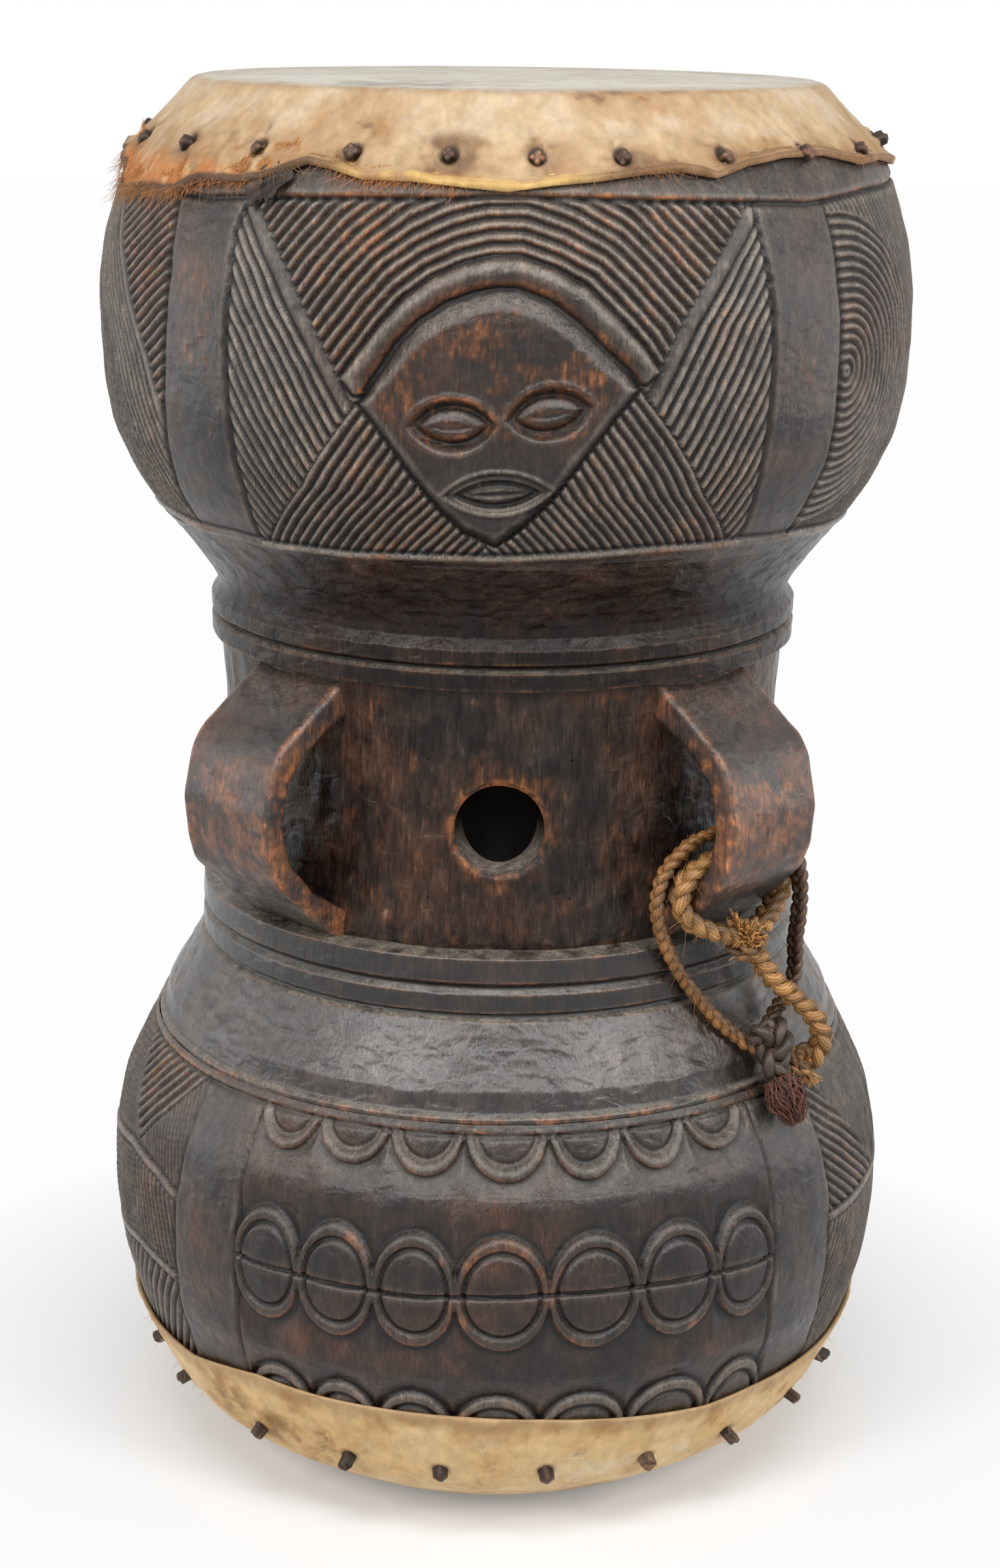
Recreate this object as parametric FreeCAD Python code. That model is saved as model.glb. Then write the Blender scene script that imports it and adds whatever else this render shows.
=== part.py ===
import FreeCAD, Part
import math
import os
from FreeCAD import Rotation, Vector

# Carved wooden drum, in millimetres: one hollowed log with a skin pegged over each end.
# +Z runs up the drum, the mask and the sound hole face -Y, and the origin is on the floor.
# The log is hewn by hand, so it has narrow flats all round instead of a lathe's true circle.

# Overall heights, from the floor up
lower_bowl_height = 235.5
lower_collar_height = 26.0
neck_height = 111.0
upper_collar_height = 19.0
upper_bowl_height = 218.5

# Outer radii of the log at its turning places
foot_radius = 105.0
heel_radius = 147.0
hem_radius = 165.4
lower_belly_radius = 176.8
shoulder_ridge_radius = 155.5
collar_seat_radius = 133.0
neck_radius = 122.5
lower_collar_radius = 135.0
upper_collar_radius = 129.5
field_foot_radius = 149.5
upper_belly_radius = 174.0
lip_radius = 163.5
head_radius = 131.5

# Heights of those places as shares of their own bowl
heel_height_share = 0.119
hem_height_share = 0.28
lower_belly_height_share = 0.5
shoulder_height_share = 0.84
field_foot_height_share = 0.17
upper_belly_height_share = 0.53
lip_height_share = 0.83

# How far each curve of the outline stands off its chord
foot_bulge = 3.5
lower_belly_bulge = 1.9
upper_shoulder_bulge = 7.0
shoulder_slope_bulge = 2.0
seat_hollow = 5.5
upper_belly_bulge = 8.2
upper_lip_bulge = 3.2
head_slope_bulge = 1.5

# Adze flats down the log and chisel cuts round a carved outline: about how long each one is
flat_height = 30.0
chisel_cut = 15.0

# Raised ridge lines and the grooves between the collar rings
ridge_width = 3.0
ridge_depth = 1.5
collar_groove_depth = 3.0
collar_groove_width = 3.5

# The hollow inside
neck_wall = 18.5
belly_wall = 18.0
rim_width = 18.0

# Four carved fields on each bowl, sunk between four smooth upright bands, with their adze flats
field_depth = 1.6
band_angle = 14.0
band_flat_count = 2
field_flat_count = 6
ring_flat_count = 4 * (band_flat_count + field_flat_count)

# Mask on the front of the upper bowl
mask_width = 110.0
mask_side_height_share = 0.478
mask_tip_height_share = 0.208
mask_dome_height_share = 0.677
arch_width = 10.5
arch_groove = 2.0
eye_width = 33.0
eye_height = 21.0
eye_spacing = 36.0
eye_height_share = 0.452
mouth_width = 43.0
mouth_height = 17.0
mouth_height_share = 0.318
pocket_depth = 3.2
bean_share = 0.8
slit_width = 1.6

# Raised borders that part the ridged fields, on the front, right, back and left of each bowl. Their
# corners are shares of the bowl's belly radius across a field and of the bowl's height up it.
border_width = 6.0
upper_border_lines = [
    [
        [(-0.61, 0.85), (-0.30, 0.49)], [(-0.30, 0.47), (-0.56, 0.16)],
        [(0.61, 0.85), (0.30, 0.49)], [(0.30, 0.47), (0.56, 0.16)],
    ],
    [[(-0.62, 0.84), (-0.30, 0.50), (-0.62, 0.16)]],
    [[(-0.42, 0.50), (0, 0.78), (0.42, 0.50), (0, 0.21), (-0.42, 0.50)]],
    [[(0.30, 0.84), (0.59, 0.43), (0.28, 0.16)]],
]
lower_border_lines = [
    [],
    [[(-0.62, 0.56), (0.62, 0.53)]],
    [[(-0.62, 0.60), (0.62, 0.60)], [(-0.62, 0.44), (0.62, 0.44)]],
    [[(0.62, 0.59), (0.30, 0.63), (-0.62, 0.56)], [(0.62, 0.43), (-0.62, 0.44)]],
]

# Ovals and hanging scallops on the lower bowl
oval_count = 7
oval_row_angle = 81.0
oval_row_centre_angle = 2.0
oval_height = 47.0
oval_corner_shares = (0.33, 0.36)
oval_gap = 3.0
oval_height_share = 0.54
scallop_drop = 19.0
arch_rise = 11.0
arch_row_height_share = 0.293

# Strap handles
handle_angle = 43.7
handle_reach = 42.0
handle_width = 52.4
handle_root = 8.0
outer_strap_shares = [(0.0, 0.97), (0.80, 0.765), (1.0, 0.53), (0.91, 0.29), (0.0, -0.01)]
inner_strap_shares = [(0.0, 0.84), (0.47, 0.73), (0.755, 0.51), (0.67, 0.335), (0.35, 0.20), (0.0, 0.10)]

# Sound hole in the front of the neck
sound_hole_radius = 19.0
sound_hole_height_share = 0.465

# Skins and their pegs
skin_thickness = 2.0
peg_size = 5.6
peg_taper = 1.4
peg_length = 26.0
peg_stand_out = 4.0
top_peg_height_share = 0.885
bottom_peg_height_share = 0.165
front_top_peg_angles = [-72, -54, -38, -22, -8, 4, 16, 32, 48, 65, 85]
front_bottom_peg_angles = [-78, -62, -40, -23, -8, 8.5, 25, 41, 58, 74]
back_top_peg_count = 12
back_bottom_peg_count = 12

# Scrap of torn hide under the top skin's edge
scrap_width = 16.0
scrap_height = 11.0
scrap_thickness = 1.8
scrap_angle = -33.5

# Knotted rope on the right-hand front handle
plait_diameter = 7.5
sling_diameter = 5.0
rope_side_count = 5
setback_share = 0.45
knot_length_shares = (-0.5, -0.3, 0, 0.3, 0.5)
knot_width_shares = (0.45, 0.88, 1, 0.88, 0.45)
frayed_knot_diameter = 21.0
plait_knot_diameter = 13.0
plait_knot_length = 22.0
dark_knot_diameter = 18.0
dark_knot_length = 25.0
tassel_length = 22.0
tassel_neck_diameter = 9.0
tassel_diameter = 15.0
tassel_length_shares = (-0.1, 0.6, 1)
frayed_knot_place = (104.0, -108.0, 263.0)
plait_knot_place = (132.5, -91.5, 202.5)
plait_knot_aim = (0.62, 0.45, -0.64)
dark_knot_place = (117.0, -107.5, 214.5)
tassel_aim = (0.45, -0.40, -0.80)
ring_route = [
    (99.0, -110.0, 264.5), (91.0, -116.0, 268.5), (82.0, -121.5, 272.5), (75.0, -122.5, 279.5),
    (74.0, -123.0, 288.5), (78.5, -122.0, 295.0), (88.0, -114.5, 300.0), (99.5, -103.0, 300.5),
    (110.5, -91.5, 299.5), (117.5, -83.0, 296.0), (121.0, -78.5, 287.0), (120.0, -81.5, 277.0),
    (115.5, -92.0, 270.0), (110.0, -101.5, 267.0),
]
sling_route = [
    (114.0, -107.0, 212.5), (107.5, -107.5, 214.5), (101.0, -107.5, 219.5), (92.5, -109.0, 227.5),
    (83.0, -111.5, 239.0), (73.5, -118.5, 254.5), (67.5, -122.0, 269.0), (65.0, -124.0, 280.0),
    (65.5, -124.5, 289.5), (69.0, -123.5, 299.0), (78.0, -117.0, 307.0), (91.0, -106.0, 309.5),
    (106.0, -93.0, 309.5), (121.0, -86.0, 304.0), (126.5, -83.5, 292.5), (128.5, -84.5, 279.5),
    (128.5, -83.5, 266.5), (127.5, -80.5, 254.0), (128.5, -78.5, 242.0), (127.0, -80.0, 233.5),
    (123.0, -85.0, 227.5), (118.5, -91.0, 223.5), (115.5, -97.5, 220.0),
]
tail_route = [
    (106.5, -106.5, 258.5), (110.5, -103.0, 253.0), (116.5, -100.5, 242.5), (125.5, -96.0, 234.0),
    (134.5, -93.5, 225.5), (140.0, -92.0, 216.0), (139.0, -90.5, 207.0), (134.5, -90.0, 202.0),
]

# How far cuts run past what they cut, and how near two corners are the same
overrun = 10.0
patch_tolerance = 0.001

# Radius and levels worked out from the sizes
widest_radius = max(lower_belly_radius, upper_belly_radius)
lower_collar_z = lower_bowl_height
neck_z = lower_collar_z + lower_collar_height
upper_collar_z = neck_z + neck_height
upper_bowl_z = upper_collar_z + upper_collar_height
drum_height = upper_bowl_z + upper_bowl_height
foot_z = skin_thickness
head_z = drum_height - skin_thickness
heel_z = lower_bowl_height * heel_height_share
lower_belly_z = lower_bowl_height * lower_belly_height_share
shoulder_z = lower_bowl_height * shoulder_height_share
field_foot_z = upper_bowl_z + upper_bowl_height * field_foot_height_share
upper_belly_z = upper_bowl_z + upper_bowl_height * upper_belly_height_share
lip_z = upper_bowl_z + upper_bowl_height * lip_height_share
hem_z = lower_bowl_height * hem_height_share


def upper_level(share):
    """Height of a place on the upper bowl, given as a share of the bowl's height."""
    return upper_bowl_z + upper_bowl_height * share


def bulged(start, end, bulge):
    """Middle point of an arc from start to end that stands off its chord, outward when positive."""
    run = (end[0] - start[0], end[1] - start[1])
    length = math.hypot(*run)
    middle = ((start[0] + end[0]) / 2, (start[1] + end[1]) / 2)
    return (middle[0] + bulge * run[1] / length, middle[1] - bulge * run[0] / length)


def edge(start, end, bulge=0):
    """Edge in the XZ plane: straight, or an arc when it has a bulge."""
    first = Vector(start[0], 0, start[1])
    last = Vector(end[0], 0, end[1])
    if not bulge:
        return Part.LineSegment(first, last).toShape()
    middle = bulged(start, end, bulge)
    return Part.Arc(first, Vector(middle[0], 0, middle[1]), last).toShape()


def backward(steps):
    """The same outline walked the other way."""
    points = [step[0] for step in steps]
    bulges = [0] + [-step[1] for step in steps[:0:-1]]
    return list(zip(points[::-1], bulges))


def moved_out(steps, distance):
    """The same outline, further from the drum's axis, or nearer when the distance is negative."""
    return [((point[0] + distance, point[1]), bulge) for point, bulge in steps]


def hewn_points(steps, cut_length):
    """Points of a closed outline, its curves taken off in straight cuts of about one length."""
    points = []
    for index, (point, bulge) in enumerate(steps):
        if not bulge:
            points.append(point)
            continue
        curve = edge(steps[index - 1][0], point, bulge)
        cuts = max(2, round(curve.Length / cut_length))
        points += [(spot.x, spot.z) for spot in curve.discretize(cuts + 1)[1:]]
    return points


def face_of(steps):
    """Flat face in the XZ plane. Each step is a point and the bulge of the edge that reaches it."""
    corners = [Vector(point[0], 0, point[1]) for point in hewn_points(steps, chisel_cut)]
    return Part.Face(Part.makePolygon(corners + corners[:1]))


def patch(corners):
    """Flat face through its corners, repeated corners left out, or nothing when none is left."""
    kept = [corner for i, corner in enumerate(corners) if not corner.isEqual(corners[i - 1], patch_tolerance)]
    if len(kept) < 3:
        return []
    return [Part.Face(Part.makePolygon(kept + kept[:1]))]


def corner_angle(corner):
    """Angle of a corner between two flats, counted from the left edge of the front field."""
    quarter, place = divmod(corner, field_flat_count + band_flat_count)
    field_angle = 90 - band_angle
    angle = 90 * quarter - field_angle / 2 + field_angle * min(place, field_flat_count) / field_flat_count
    return math.radians(angle + band_angle * max(0, place - field_flat_count) / band_flat_count)


def hewn(steps, first_corner=0, flat_count=ring_flat_count):
    """Solid that a closed outline sweeps round the axis in flats, from one corner to another."""
    points = hewn_points(steps, flat_height)
    rings = []
    for corner in range(first_corner, first_corner + flat_count + 1):
        aim = Vector(math.sin(corner_angle(corner)), -math.cos(corner_angle(corner)), 0)
        rings.append([aim * point[0] + Vector(0, 0, point[1]) for point in points])
    faces = []
    for near, far in zip(rings, rings[1:]):
        for i in range(len(points)):
            faces += patch([near[i - 1], far[i - 1], far[i], near[i]])
    if flat_count < ring_flat_count:
        faces += patch(rings[0]) + patch(rings[-1][::-1])
    return Part.Solid(Part.Shell(faces))


def stacked(rings):
    """Solid with flat sides through rings of corners, closed at both ends."""
    faces = patch(rings[0][::-1]) + patch(rings[-1])
    for near, far in zip(rings, rings[1:]):
        for i in range(len(near)):
            faces += patch([near[i - 1], near[i], far[i], far[i - 1]])
    return Part.Solid(Part.Shell(faces))


def collar_steps(base_z, height, radius):
    """Two flat rings with a V groove between them."""
    ring = (height - collar_groove_width) / 2
    return [
        ((radius, base_z), 0),
        ((radius, base_z + ring), 0),
        ((radius - collar_groove_depth, base_z + height / 2), 0),
        ((radius, base_z + height - ring), 0),
        ((radius, base_z + height), 0),
    ]


def foot_steps():
    """Foot of the log, from its rim up round the heel to the hem of the bottom skin."""
    return [
        ((foot_radius, foot_z), 0),
        ((heel_radius, heel_z), foot_bulge),
        ((hem_radius, hem_z), 0),
    ]


def lower_field_steps():
    """Lower bowl's carved zone, from the hem of the skin to the ridge line on the shoulder."""
    return [
        ((hem_radius, hem_z), 0),
        ((lower_belly_radius, lower_belly_z), lower_belly_bulge),
        ((shoulder_ridge_radius, shoulder_z - ridge_width / 2), upper_shoulder_bulge),
    ]


def shoulder_steps():
    """Ridge line round the shoulder and the plain slope up to the lower collar."""
    ridge_top = shoulder_z + ridge_width / 2
    return [
        ((shoulder_ridge_radius, ridge_top), 0),
        ((shoulder_ridge_radius - ridge_depth, ridge_top + ridge_depth), 0),
        ((collar_seat_radius, lower_collar_z), shoulder_slope_bulge),
    ]


def seat_steps():
    """Hollow seat over the upper collar, with the ridge line under the carving."""
    ridge_foot = field_foot_z - ridge_width / 2
    return [
        ((field_foot_radius - ridge_depth, ridge_foot - ridge_depth), -seat_hollow),
        ((field_foot_radius, ridge_foot), 0),
    ]


def upper_field_steps():
    """Upper bowl's carved zone, from its ridge line to the lip."""
    return [
        ((field_foot_radius + ridge_depth, field_foot_z + ridge_width / 2), 0),
        ((upper_belly_radius, upper_belly_z), upper_belly_bulge),
        ((lip_radius, lip_z), upper_lip_bulge),
    ]


def head_steps():
    """Slope from the lip to the edge of the head, which the top skin covers."""
    return [((lip_radius, lip_z), 0), ((head_radius, head_z), head_slope_bulge)]


def hollow_steps():
    """Inside of the log, from the top mouth down to the bottom mouth."""
    top_mouth = head_radius - rim_width
    bottom_mouth = foot_radius - rim_width
    neck_hollow = neck_radius - neck_wall
    return [
        ((top_mouth, head_z), 0),
        ((upper_belly_radius - belly_wall, upper_belly_z), 0),
        ((neck_hollow, upper_bowl_z), 0),
        ((neck_hollow, lower_collar_z), 0),
        ((lower_belly_radius - belly_wall, lower_belly_z), 0),
        ((bottom_mouth, foot_z), 0),
    ]


def log_blank():
    """The log hewn to its outline and hollowed from end to end, open at both."""
    steps = foot_steps() + lower_field_steps()[1:] + shoulder_steps()
    steps += collar_steps(lower_collar_z, lower_collar_height, lower_collar_radius)
    steps += [((neck_radius, neck_z), 0), ((neck_radius, upper_collar_z), 0)]
    steps += collar_steps(upper_collar_z, upper_collar_height, upper_collar_radius)
    steps += seat_steps() + upper_field_steps() + head_steps()[1:]
    return hewn(steps + hollow_steps())


def field_sectors(steps):
    """Front, right, back and left cuts that sink the carved fields of a bowl between its bands."""
    outside = widest_radius + overrun
    floor = moved_out(steps, -field_depth)
    cut = floor + [((outside, steps[-1][0][1]), 0), ((outside, steps[0][0][1]), 0)]
    pitch = field_flat_count + band_flat_count
    return [hewn(cut, index * pitch, field_flat_count) for index in range(4)]


def front_prism(face, angle=0):
    """Pushes a flat outline straight out through the front of the drum, then turns it to its place."""
    prism = face.extrude(Vector(0, -widest_radius - overrun, 0))
    prism.rotate(Vector(0, 0, 0), Vector(0, 0, 1), angle)
    return prism


def mask_face():
    """Lozenge mask: a point below, two side corners and a round dome above."""
    side = mask_width / 2
    side_z = upper_level(mask_side_height_share)
    dome = upper_level(mask_dome_height_share) - side_z
    return face_of([
        ((-side, side_z), dome),
        ((0, upper_level(mask_tip_height_share)), 0),
        ((side, side_z), 0),
    ])


def arch_face():
    """Raised band that follows the dome of the mask."""
    inner = mask_width / 2 + arch_groove
    outer = inner + arch_width
    side_z = upper_level(mask_side_height_share)
    dome = upper_level(mask_dome_height_share) - side_z + arch_groove
    return face_of([
        ((-outer, side_z), dome + arch_width),
        ((-inner, side_z), 0),
        ((inner, side_z), -dome),
        ((outer, side_z), 0),
    ])


def almond_face(width, height, x, z):
    """Two equal arcs that meet in a point at each side."""
    left = (x - width / 2, z)
    right = (x + width / 2, z)
    return face_of([(left, height / 2), (right, height / 2)])


def oval_face(width, height, z):
    """Upright oval on the drum's middle line."""
    x = width * oval_corner_shares[0]
    rise = height * oval_corner_shares[1]
    return face_of([
        ((x, z - rise), height / 2 - rise),
        ((x, z + rise), width / 2 - x),
        ((-x, z + rise), height / 2 - rise),
        ((-x, z - rise), width / 2 - x),
    ])


def scallop_face(width, top_z, drop):
    """Hanging scallop: short straight sides and a half-round foot."""
    side_z = top_z - drop + width / 2
    return face_of([
        ((-width / 2, top_z), 0),
        ((width / 2, top_z), 0),
        ((width / 2, side_z), 0),
        ((-width / 2, side_z), -width / 2),
    ])


def arch_row_face(width, foot_z, top_z):
    """Low arch that rises from the edge of the bottom skin."""
    return face_of([
        ((-width / 2, foot_z), 0),
        ((width / 2, foot_z), 0),
        ((width / 2, top_z - arch_rise), 0),
        ((-width / 2, top_z - arch_rise), arch_rise),
    ])


def oval_panel_prisms():
    """Ovals, scallops and arches of one panel of the lower bowl, as prisms through its front."""
    pitch = oval_row_angle / oval_count
    width = math.radians(pitch) * lower_belly_radius - oval_gap
    oval_z = lower_bowl_height * oval_height_share
    arch_z = lower_bowl_height * arch_row_height_share
    prisms = []
    for index in range(oval_count):
        angle = oval_row_centre_angle + (index - (oval_count - 1) / 2) * pitch
        prisms.append(front_prism(oval_face(width, oval_height, oval_z), angle))
        prisms.append(front_prism(scallop_face(width, shoulder_z, scallop_drop + ridge_width / 2), angle))
        prisms.append(front_prism(arch_row_face(width, hem_z - overrun, arch_z + arch_rise), angle))
    return prisms


def border_face(start, end):
    """Straight border across a field, from one place on it to another."""
    run = Vector(end[0] - start[0], 0, end[1] - start[1])
    side = Vector(-run.z, 0, run.x).normalize() * (border_width / 2)
    first = Vector(start[0], 0, start[1])
    last = first + run
    corners = [first - side, last - side, last + side, first + side]
    return Part.Face(Part.makePolygon(corners + corners[:1]))


def border_prisms(lines, belly_radius, base_z, height, quarter):
    """Raised borders of one field, as prisms through that side of the drum."""
    prisms = []
    for line in lines:
        places = [(belly_radius * across, base_z + height * up) for across, up in line]
        prisms += [front_prism(border_face(*run), 90 * quarter) for run in zip(places, places[1:])]
    return prisms


def eye_places():
    """Middle of each eye, across the mask and up it."""
    z = upper_level(eye_height_share)
    return [(-eye_spacing / 2, z), (eye_spacing / 2, z)]


def pocket(width, height, x, z):
    """Almond pocket in the mask, with a floor that follows the bowl."""
    floor = moved_out(upper_field_steps(), -pocket_depth)
    core = hewn([((0, floor[0][0][1]), 0)] + floor + [((0, floor[-1][0][1]), 0)])
    return front_prism(almond_face(width, height, x, z)).cut(core)


def bean(width, height, x, z):
    """Swelling inside an almond pocket, split along its middle like a coffee bean."""
    half = width * bean_share / 2
    radius = (half ** 2 + pocket_depth ** 2) / (2 * pocket_depth)
    belly = arc_of(*upper_field_steps()[:2])
    surface = math.sqrt(radius_at(belly, z) ** 2 - x ** 2)
    cap = Part.makeSphere(radius, Vector(x, radius - surface, z))
    blank = almond_face(width * bean_share, height * bean_share, x, z).extrude(Vector(0, -2 * pocket_depth, 0))
    blank.translate(Vector(0, 2 * pocket_depth - surface, 0))
    body = blank.common(cap)
    slit = Part.makeBox(width, 2 * pocket_depth, slit_width)
    slit.translate(Vector(x - width / 2, pocket_depth / 2 - surface - 2 * pocket_depth, z - slit_width / 2))
    return body.cut(slit)


def arc_of(start_step, end_step):
    """Circle of the outline's arc between two steps, for finding a radius at a height."""
    return edge(start_step[0], end_step[0], end_step[1]).Curve


def radius_at(arc, z):
    """Outer radius of an outward arc at one height."""
    rise = z - arc.Center.z
    return arc.Center.x + math.sqrt(arc.Radius ** 2 - rise ** 2)


def carved_fields():
    """Everything that the carver took off round the bands, the mask and the ovals."""
    upper = field_sectors(upper_field_steps())
    lower = field_sectors(lower_field_steps())
    upper[0] = upper[0].cut([front_prism(mask_face()), front_prism(arch_face())])
    lower[0] = lower[0].cut(oval_panel_prisms())
    for quarter in range(4):
        borders = border_prisms(upper_border_lines[quarter], upper_belly_radius, upper_bowl_z, upper_bowl_height, quarter)
        borders += border_prisms(lower_border_lines[quarter], lower_belly_radius, 0, lower_bowl_height, quarter)
        upper[quarter] = upper[quarter].cut(borders)
        lower[quarter] = lower[quarter].cut(borders)
    return upper + lower


def handle(angle):
    """Bent strap that stands off the neck, carved in one piece with the log."""
    def place(share):
        return (neck_radius + handle_reach * share[0], neck_z + neck_height * share[1])

    outer = [place(share) for share in outer_strap_shares]
    inner = [place(share) for share in inner_strap_shares]
    root = neck_radius - handle_root
    outline = [
        edge((root, outer[0][1]), outer[1]),
        Part.Arc(*(Vector(point[0], 0, point[1]) for point in outer[1:4])).toShape(),
        edge(outer[3], (root, outer[4][1])),
        edge((root, outer[4][1]), (root, inner[5][1])),
        edge((root, inner[5][1]), inner[4]),
        edge(inner[4], inner[3]),
        Part.Arc(*(Vector(point[0], 0, point[1]) for point in inner[3:0:-1])).toShape(),
        edge(inner[1], (root, inner[0][1])),
        edge((root, inner[0][1]), (root, outer[0][1])),
    ]
    strap = Part.Face(Part.Wire(outline)).extrude(Vector(0, handle_width, 0))
    strap.translate(Vector(0, -handle_width / 2, 0))
    strap.rotate(Vector(0, 0, 0), Vector(0, 0, 1), angle - 90)
    return strap


def sound_hole():
    """Round hole through the front wall of the neck."""
    z = neck_z + neck_height * sound_hole_height_share
    return Part.makeCylinder(sound_hole_radius, neck_radius + overrun, Vector(0, 0, z), Vector(0, -1, 0))


def top_skin():
    """Skin drawn flat over the upper mouth and down to the lip."""
    steps = [((0, head_z), 0)] + backward(head_steps())
    outside = moved_out(head_steps(), skin_thickness)
    return hewn(backward(steps + outside + [((head_radius, drum_height), 0), ((0, drum_height), 0)]))


def bottom_skin():
    """Skin drawn flat over the lower mouth and up round the heel to its hem."""
    outside = moved_out(foot_steps(), skin_thickness)
    steps = [((0, 0), 0), ((foot_radius, 0), 0)] + outside + backward(foot_steps()) + [((0, foot_z), 0)]
    return hewn(steps)


def peg_angles(front_angles, back_count):
    """Measured pegs of the front half, then even pegs round the back."""
    gap = (360 + front_angles[0] - front_angles[-1]) / (back_count + 1)
    return front_angles + [front_angles[-1] + gap * (index + 1) for index in range(back_count)]


def square(size, x, z):
    """Corners of an upright square across the X axis."""
    half = size / 2
    return [
        Vector(x, -half, z - half),
        Vector(x, half, z - half),
        Vector(x, half, z + half),
        Vector(x, -half, z + half),
    ]


def peg(angle, surface_radius, z):
    """Square whittled peg, driven through the skin into the log, thinner at its inner end."""
    outer = surface_radius + skin_thickness + peg_stand_out
    solid = stacked([square(peg_size - peg_taper, outer - peg_length, z), square(peg_size, outer, z)])
    solid.rotate(Vector(0, 0, 0), Vector(0, 0, 1), angle - 90)
    return solid


def scrap():
    """Torn scrap of hide that hangs out from under the top skin."""
    torn_z = lip_z - scrap_height
    torn_radius = radius_at(arc_of(*upper_field_steps()[1:]), torn_z)
    ends = []
    for side in (-scrap_width / 2, scrap_width / 2):
        ends.append([
            Vector(side, -torn_radius, torn_z),
            Vector(side, -torn_radius - scrap_thickness, torn_z),
            Vector(side, -lip_radius - scrap_thickness, lip_z),
            Vector(side, -lip_radius, lip_z),
        ])
    solid = stacked(ends)
    solid.rotate(Vector(0, 0, 0), Vector(0, 0, 1), scrap_angle)
    return solid


def route_edges(route):
    """Straight runs joined by tangent arcs, each as large as its two runs allow, with the arcs' radii."""
    points = [Vector(*point) for point in route]
    edges = []
    radii = []
    start = points[0]
    for before, corner, after in zip(points, points[1:], points[2:]):
        back = before - corner
        ahead = after - corner
        turn = math.pi - back.getAngle(ahead)
        setback = setback_share * min(back.Length, ahead.Length)
        radii.append(setback / math.tan(turn / 2))
        first = corner + back.normalize() * setback
        last = corner + ahead.normalize() * setback
        drop = radii[-1] / math.cos(turn / 2) - radii[-1]
        middle = corner + (back + ahead).normalize() * drop
        edges += [Part.LineSegment(start, first).toShape(), Part.Arc(first, middle, last).toShape()]
        start = last
    edges.append(Part.LineSegment(start, points[-1]).toShape())
    return edges, radii


def ring_corners(centre, direction, diameter):
    """Corners of the many-sided section of a rope or a knot, square to its direction."""
    turn = Rotation(Vector(0, 0, 1), direction)
    corners = []
    for index in range(rope_side_count):
        angle = 2 * math.pi * index / rope_side_count
        corner = Vector(math.cos(angle), math.sin(angle), 0) * (diameter / 2)
        corners.append(centre + turn.multVec(corner))
    return corners


def rope(name, route, diameter):
    """Rope along its route, with its volume checked against section times length."""
    edges, radii = route_edges(route)
    path = Part.Wire(edges)
    start = Vector(*route[0])
    corners = ring_corners(start, Vector(*route[1]) - start, diameter)
    section = Part.makePolygon(corners + corners[:1])
    solid = path.makePipeShell([section], True, False)
    expected = Part.Face(section).Area * path.Length
    tightest = min(radii)
    print(name, "length", round(path.Length, 1), "volume ratio", round(solid.Volume / expected, 4))
    print(name, "tightest radius", round(tightest, 1), "radii", [round(radius, 1) for radius in radii])
    return solid


def lump(centre, aim, sections):
    """Many-sided knot: sections are distance along the aim and diameter."""
    direction = Vector(*aim).normalize()
    return stacked([ring_corners(centre + direction * distance, direction, width) for distance, width in sections])


def knot_sections(length, diameter):
    """Rounded lump, small at both ends and fullest in the middle."""
    places = [length * share for share in knot_length_shares]
    return list(zip(places, [diameter * share for share in knot_width_shares]))


def rope_pieces():
    """Ring round the strap, long sling, tail, and the knots that hold them."""
    ring = rope("plait_ring", ring_route, plait_diameter)
    sling = rope("sling", sling_route, sling_diameter)
    tail = rope("plait_tail", tail_route, plait_diameter)
    upright = (0, 0, 1)
    frayed = lump(
        Vector(*frayed_knot_place), upright, knot_sections(frayed_knot_diameter, frayed_knot_diameter)
    ).cut([ring, tail])
    dark = lump(
        Vector(*dark_knot_place), upright, knot_sections(dark_knot_length, dark_knot_diameter)
    ).cut([sling])
    plait_end = lump(
        Vector(*plait_knot_place), plait_knot_aim, knot_sections(plait_knot_length, plait_knot_diameter)
    ).cut([tail, dark])
    tassel_start = Vector(*dark_knot_place) - Vector(0, 0, dark_knot_length / 2)
    tassel_places = [tassel_length * share for share in tassel_length_shares]
    tassel_widths = (tassel_neck_diameter, tassel_diameter, tassel_neck_diameter)
    tassel = lump(tassel_start, tassel_aim, zip(tassel_places, tassel_widths)).cut([dark])
    return {
        "plait_ring": ring,
        "sling_rope": sling,
        "plait_tail": tail,
        "frayed_knot": frayed,
        "dark_knot": dark,
        "plait_end_knot": plait_end,
        "dark_tassel": tassel,
    }


def pegs():
    """Both rows of pegs by name."""
    top_arc = arc_of(*head_steps())
    top_z = upper_level(top_peg_height_share)
    bottom_z = lower_bowl_height * bottom_peg_height_share
    bottom_radius = heel_radius + (hem_radius - heel_radius) * (bottom_z - heel_z) / (hem_z - heel_z)
    pieces = {}
    for index, angle in enumerate(peg_angles(front_top_peg_angles, back_top_peg_count)):
        pieces[f"top_peg_{index + 1:02d}"] = peg(angle, radius_at(top_arc, top_z), top_z)
    for index, angle in enumerate(peg_angles(front_bottom_peg_angles, back_bottom_peg_count)):
        pieces[f"bottom_peg_{index + 1:02d}"] = peg(angle, bottom_radius, bottom_z)
    return pieces


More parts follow.
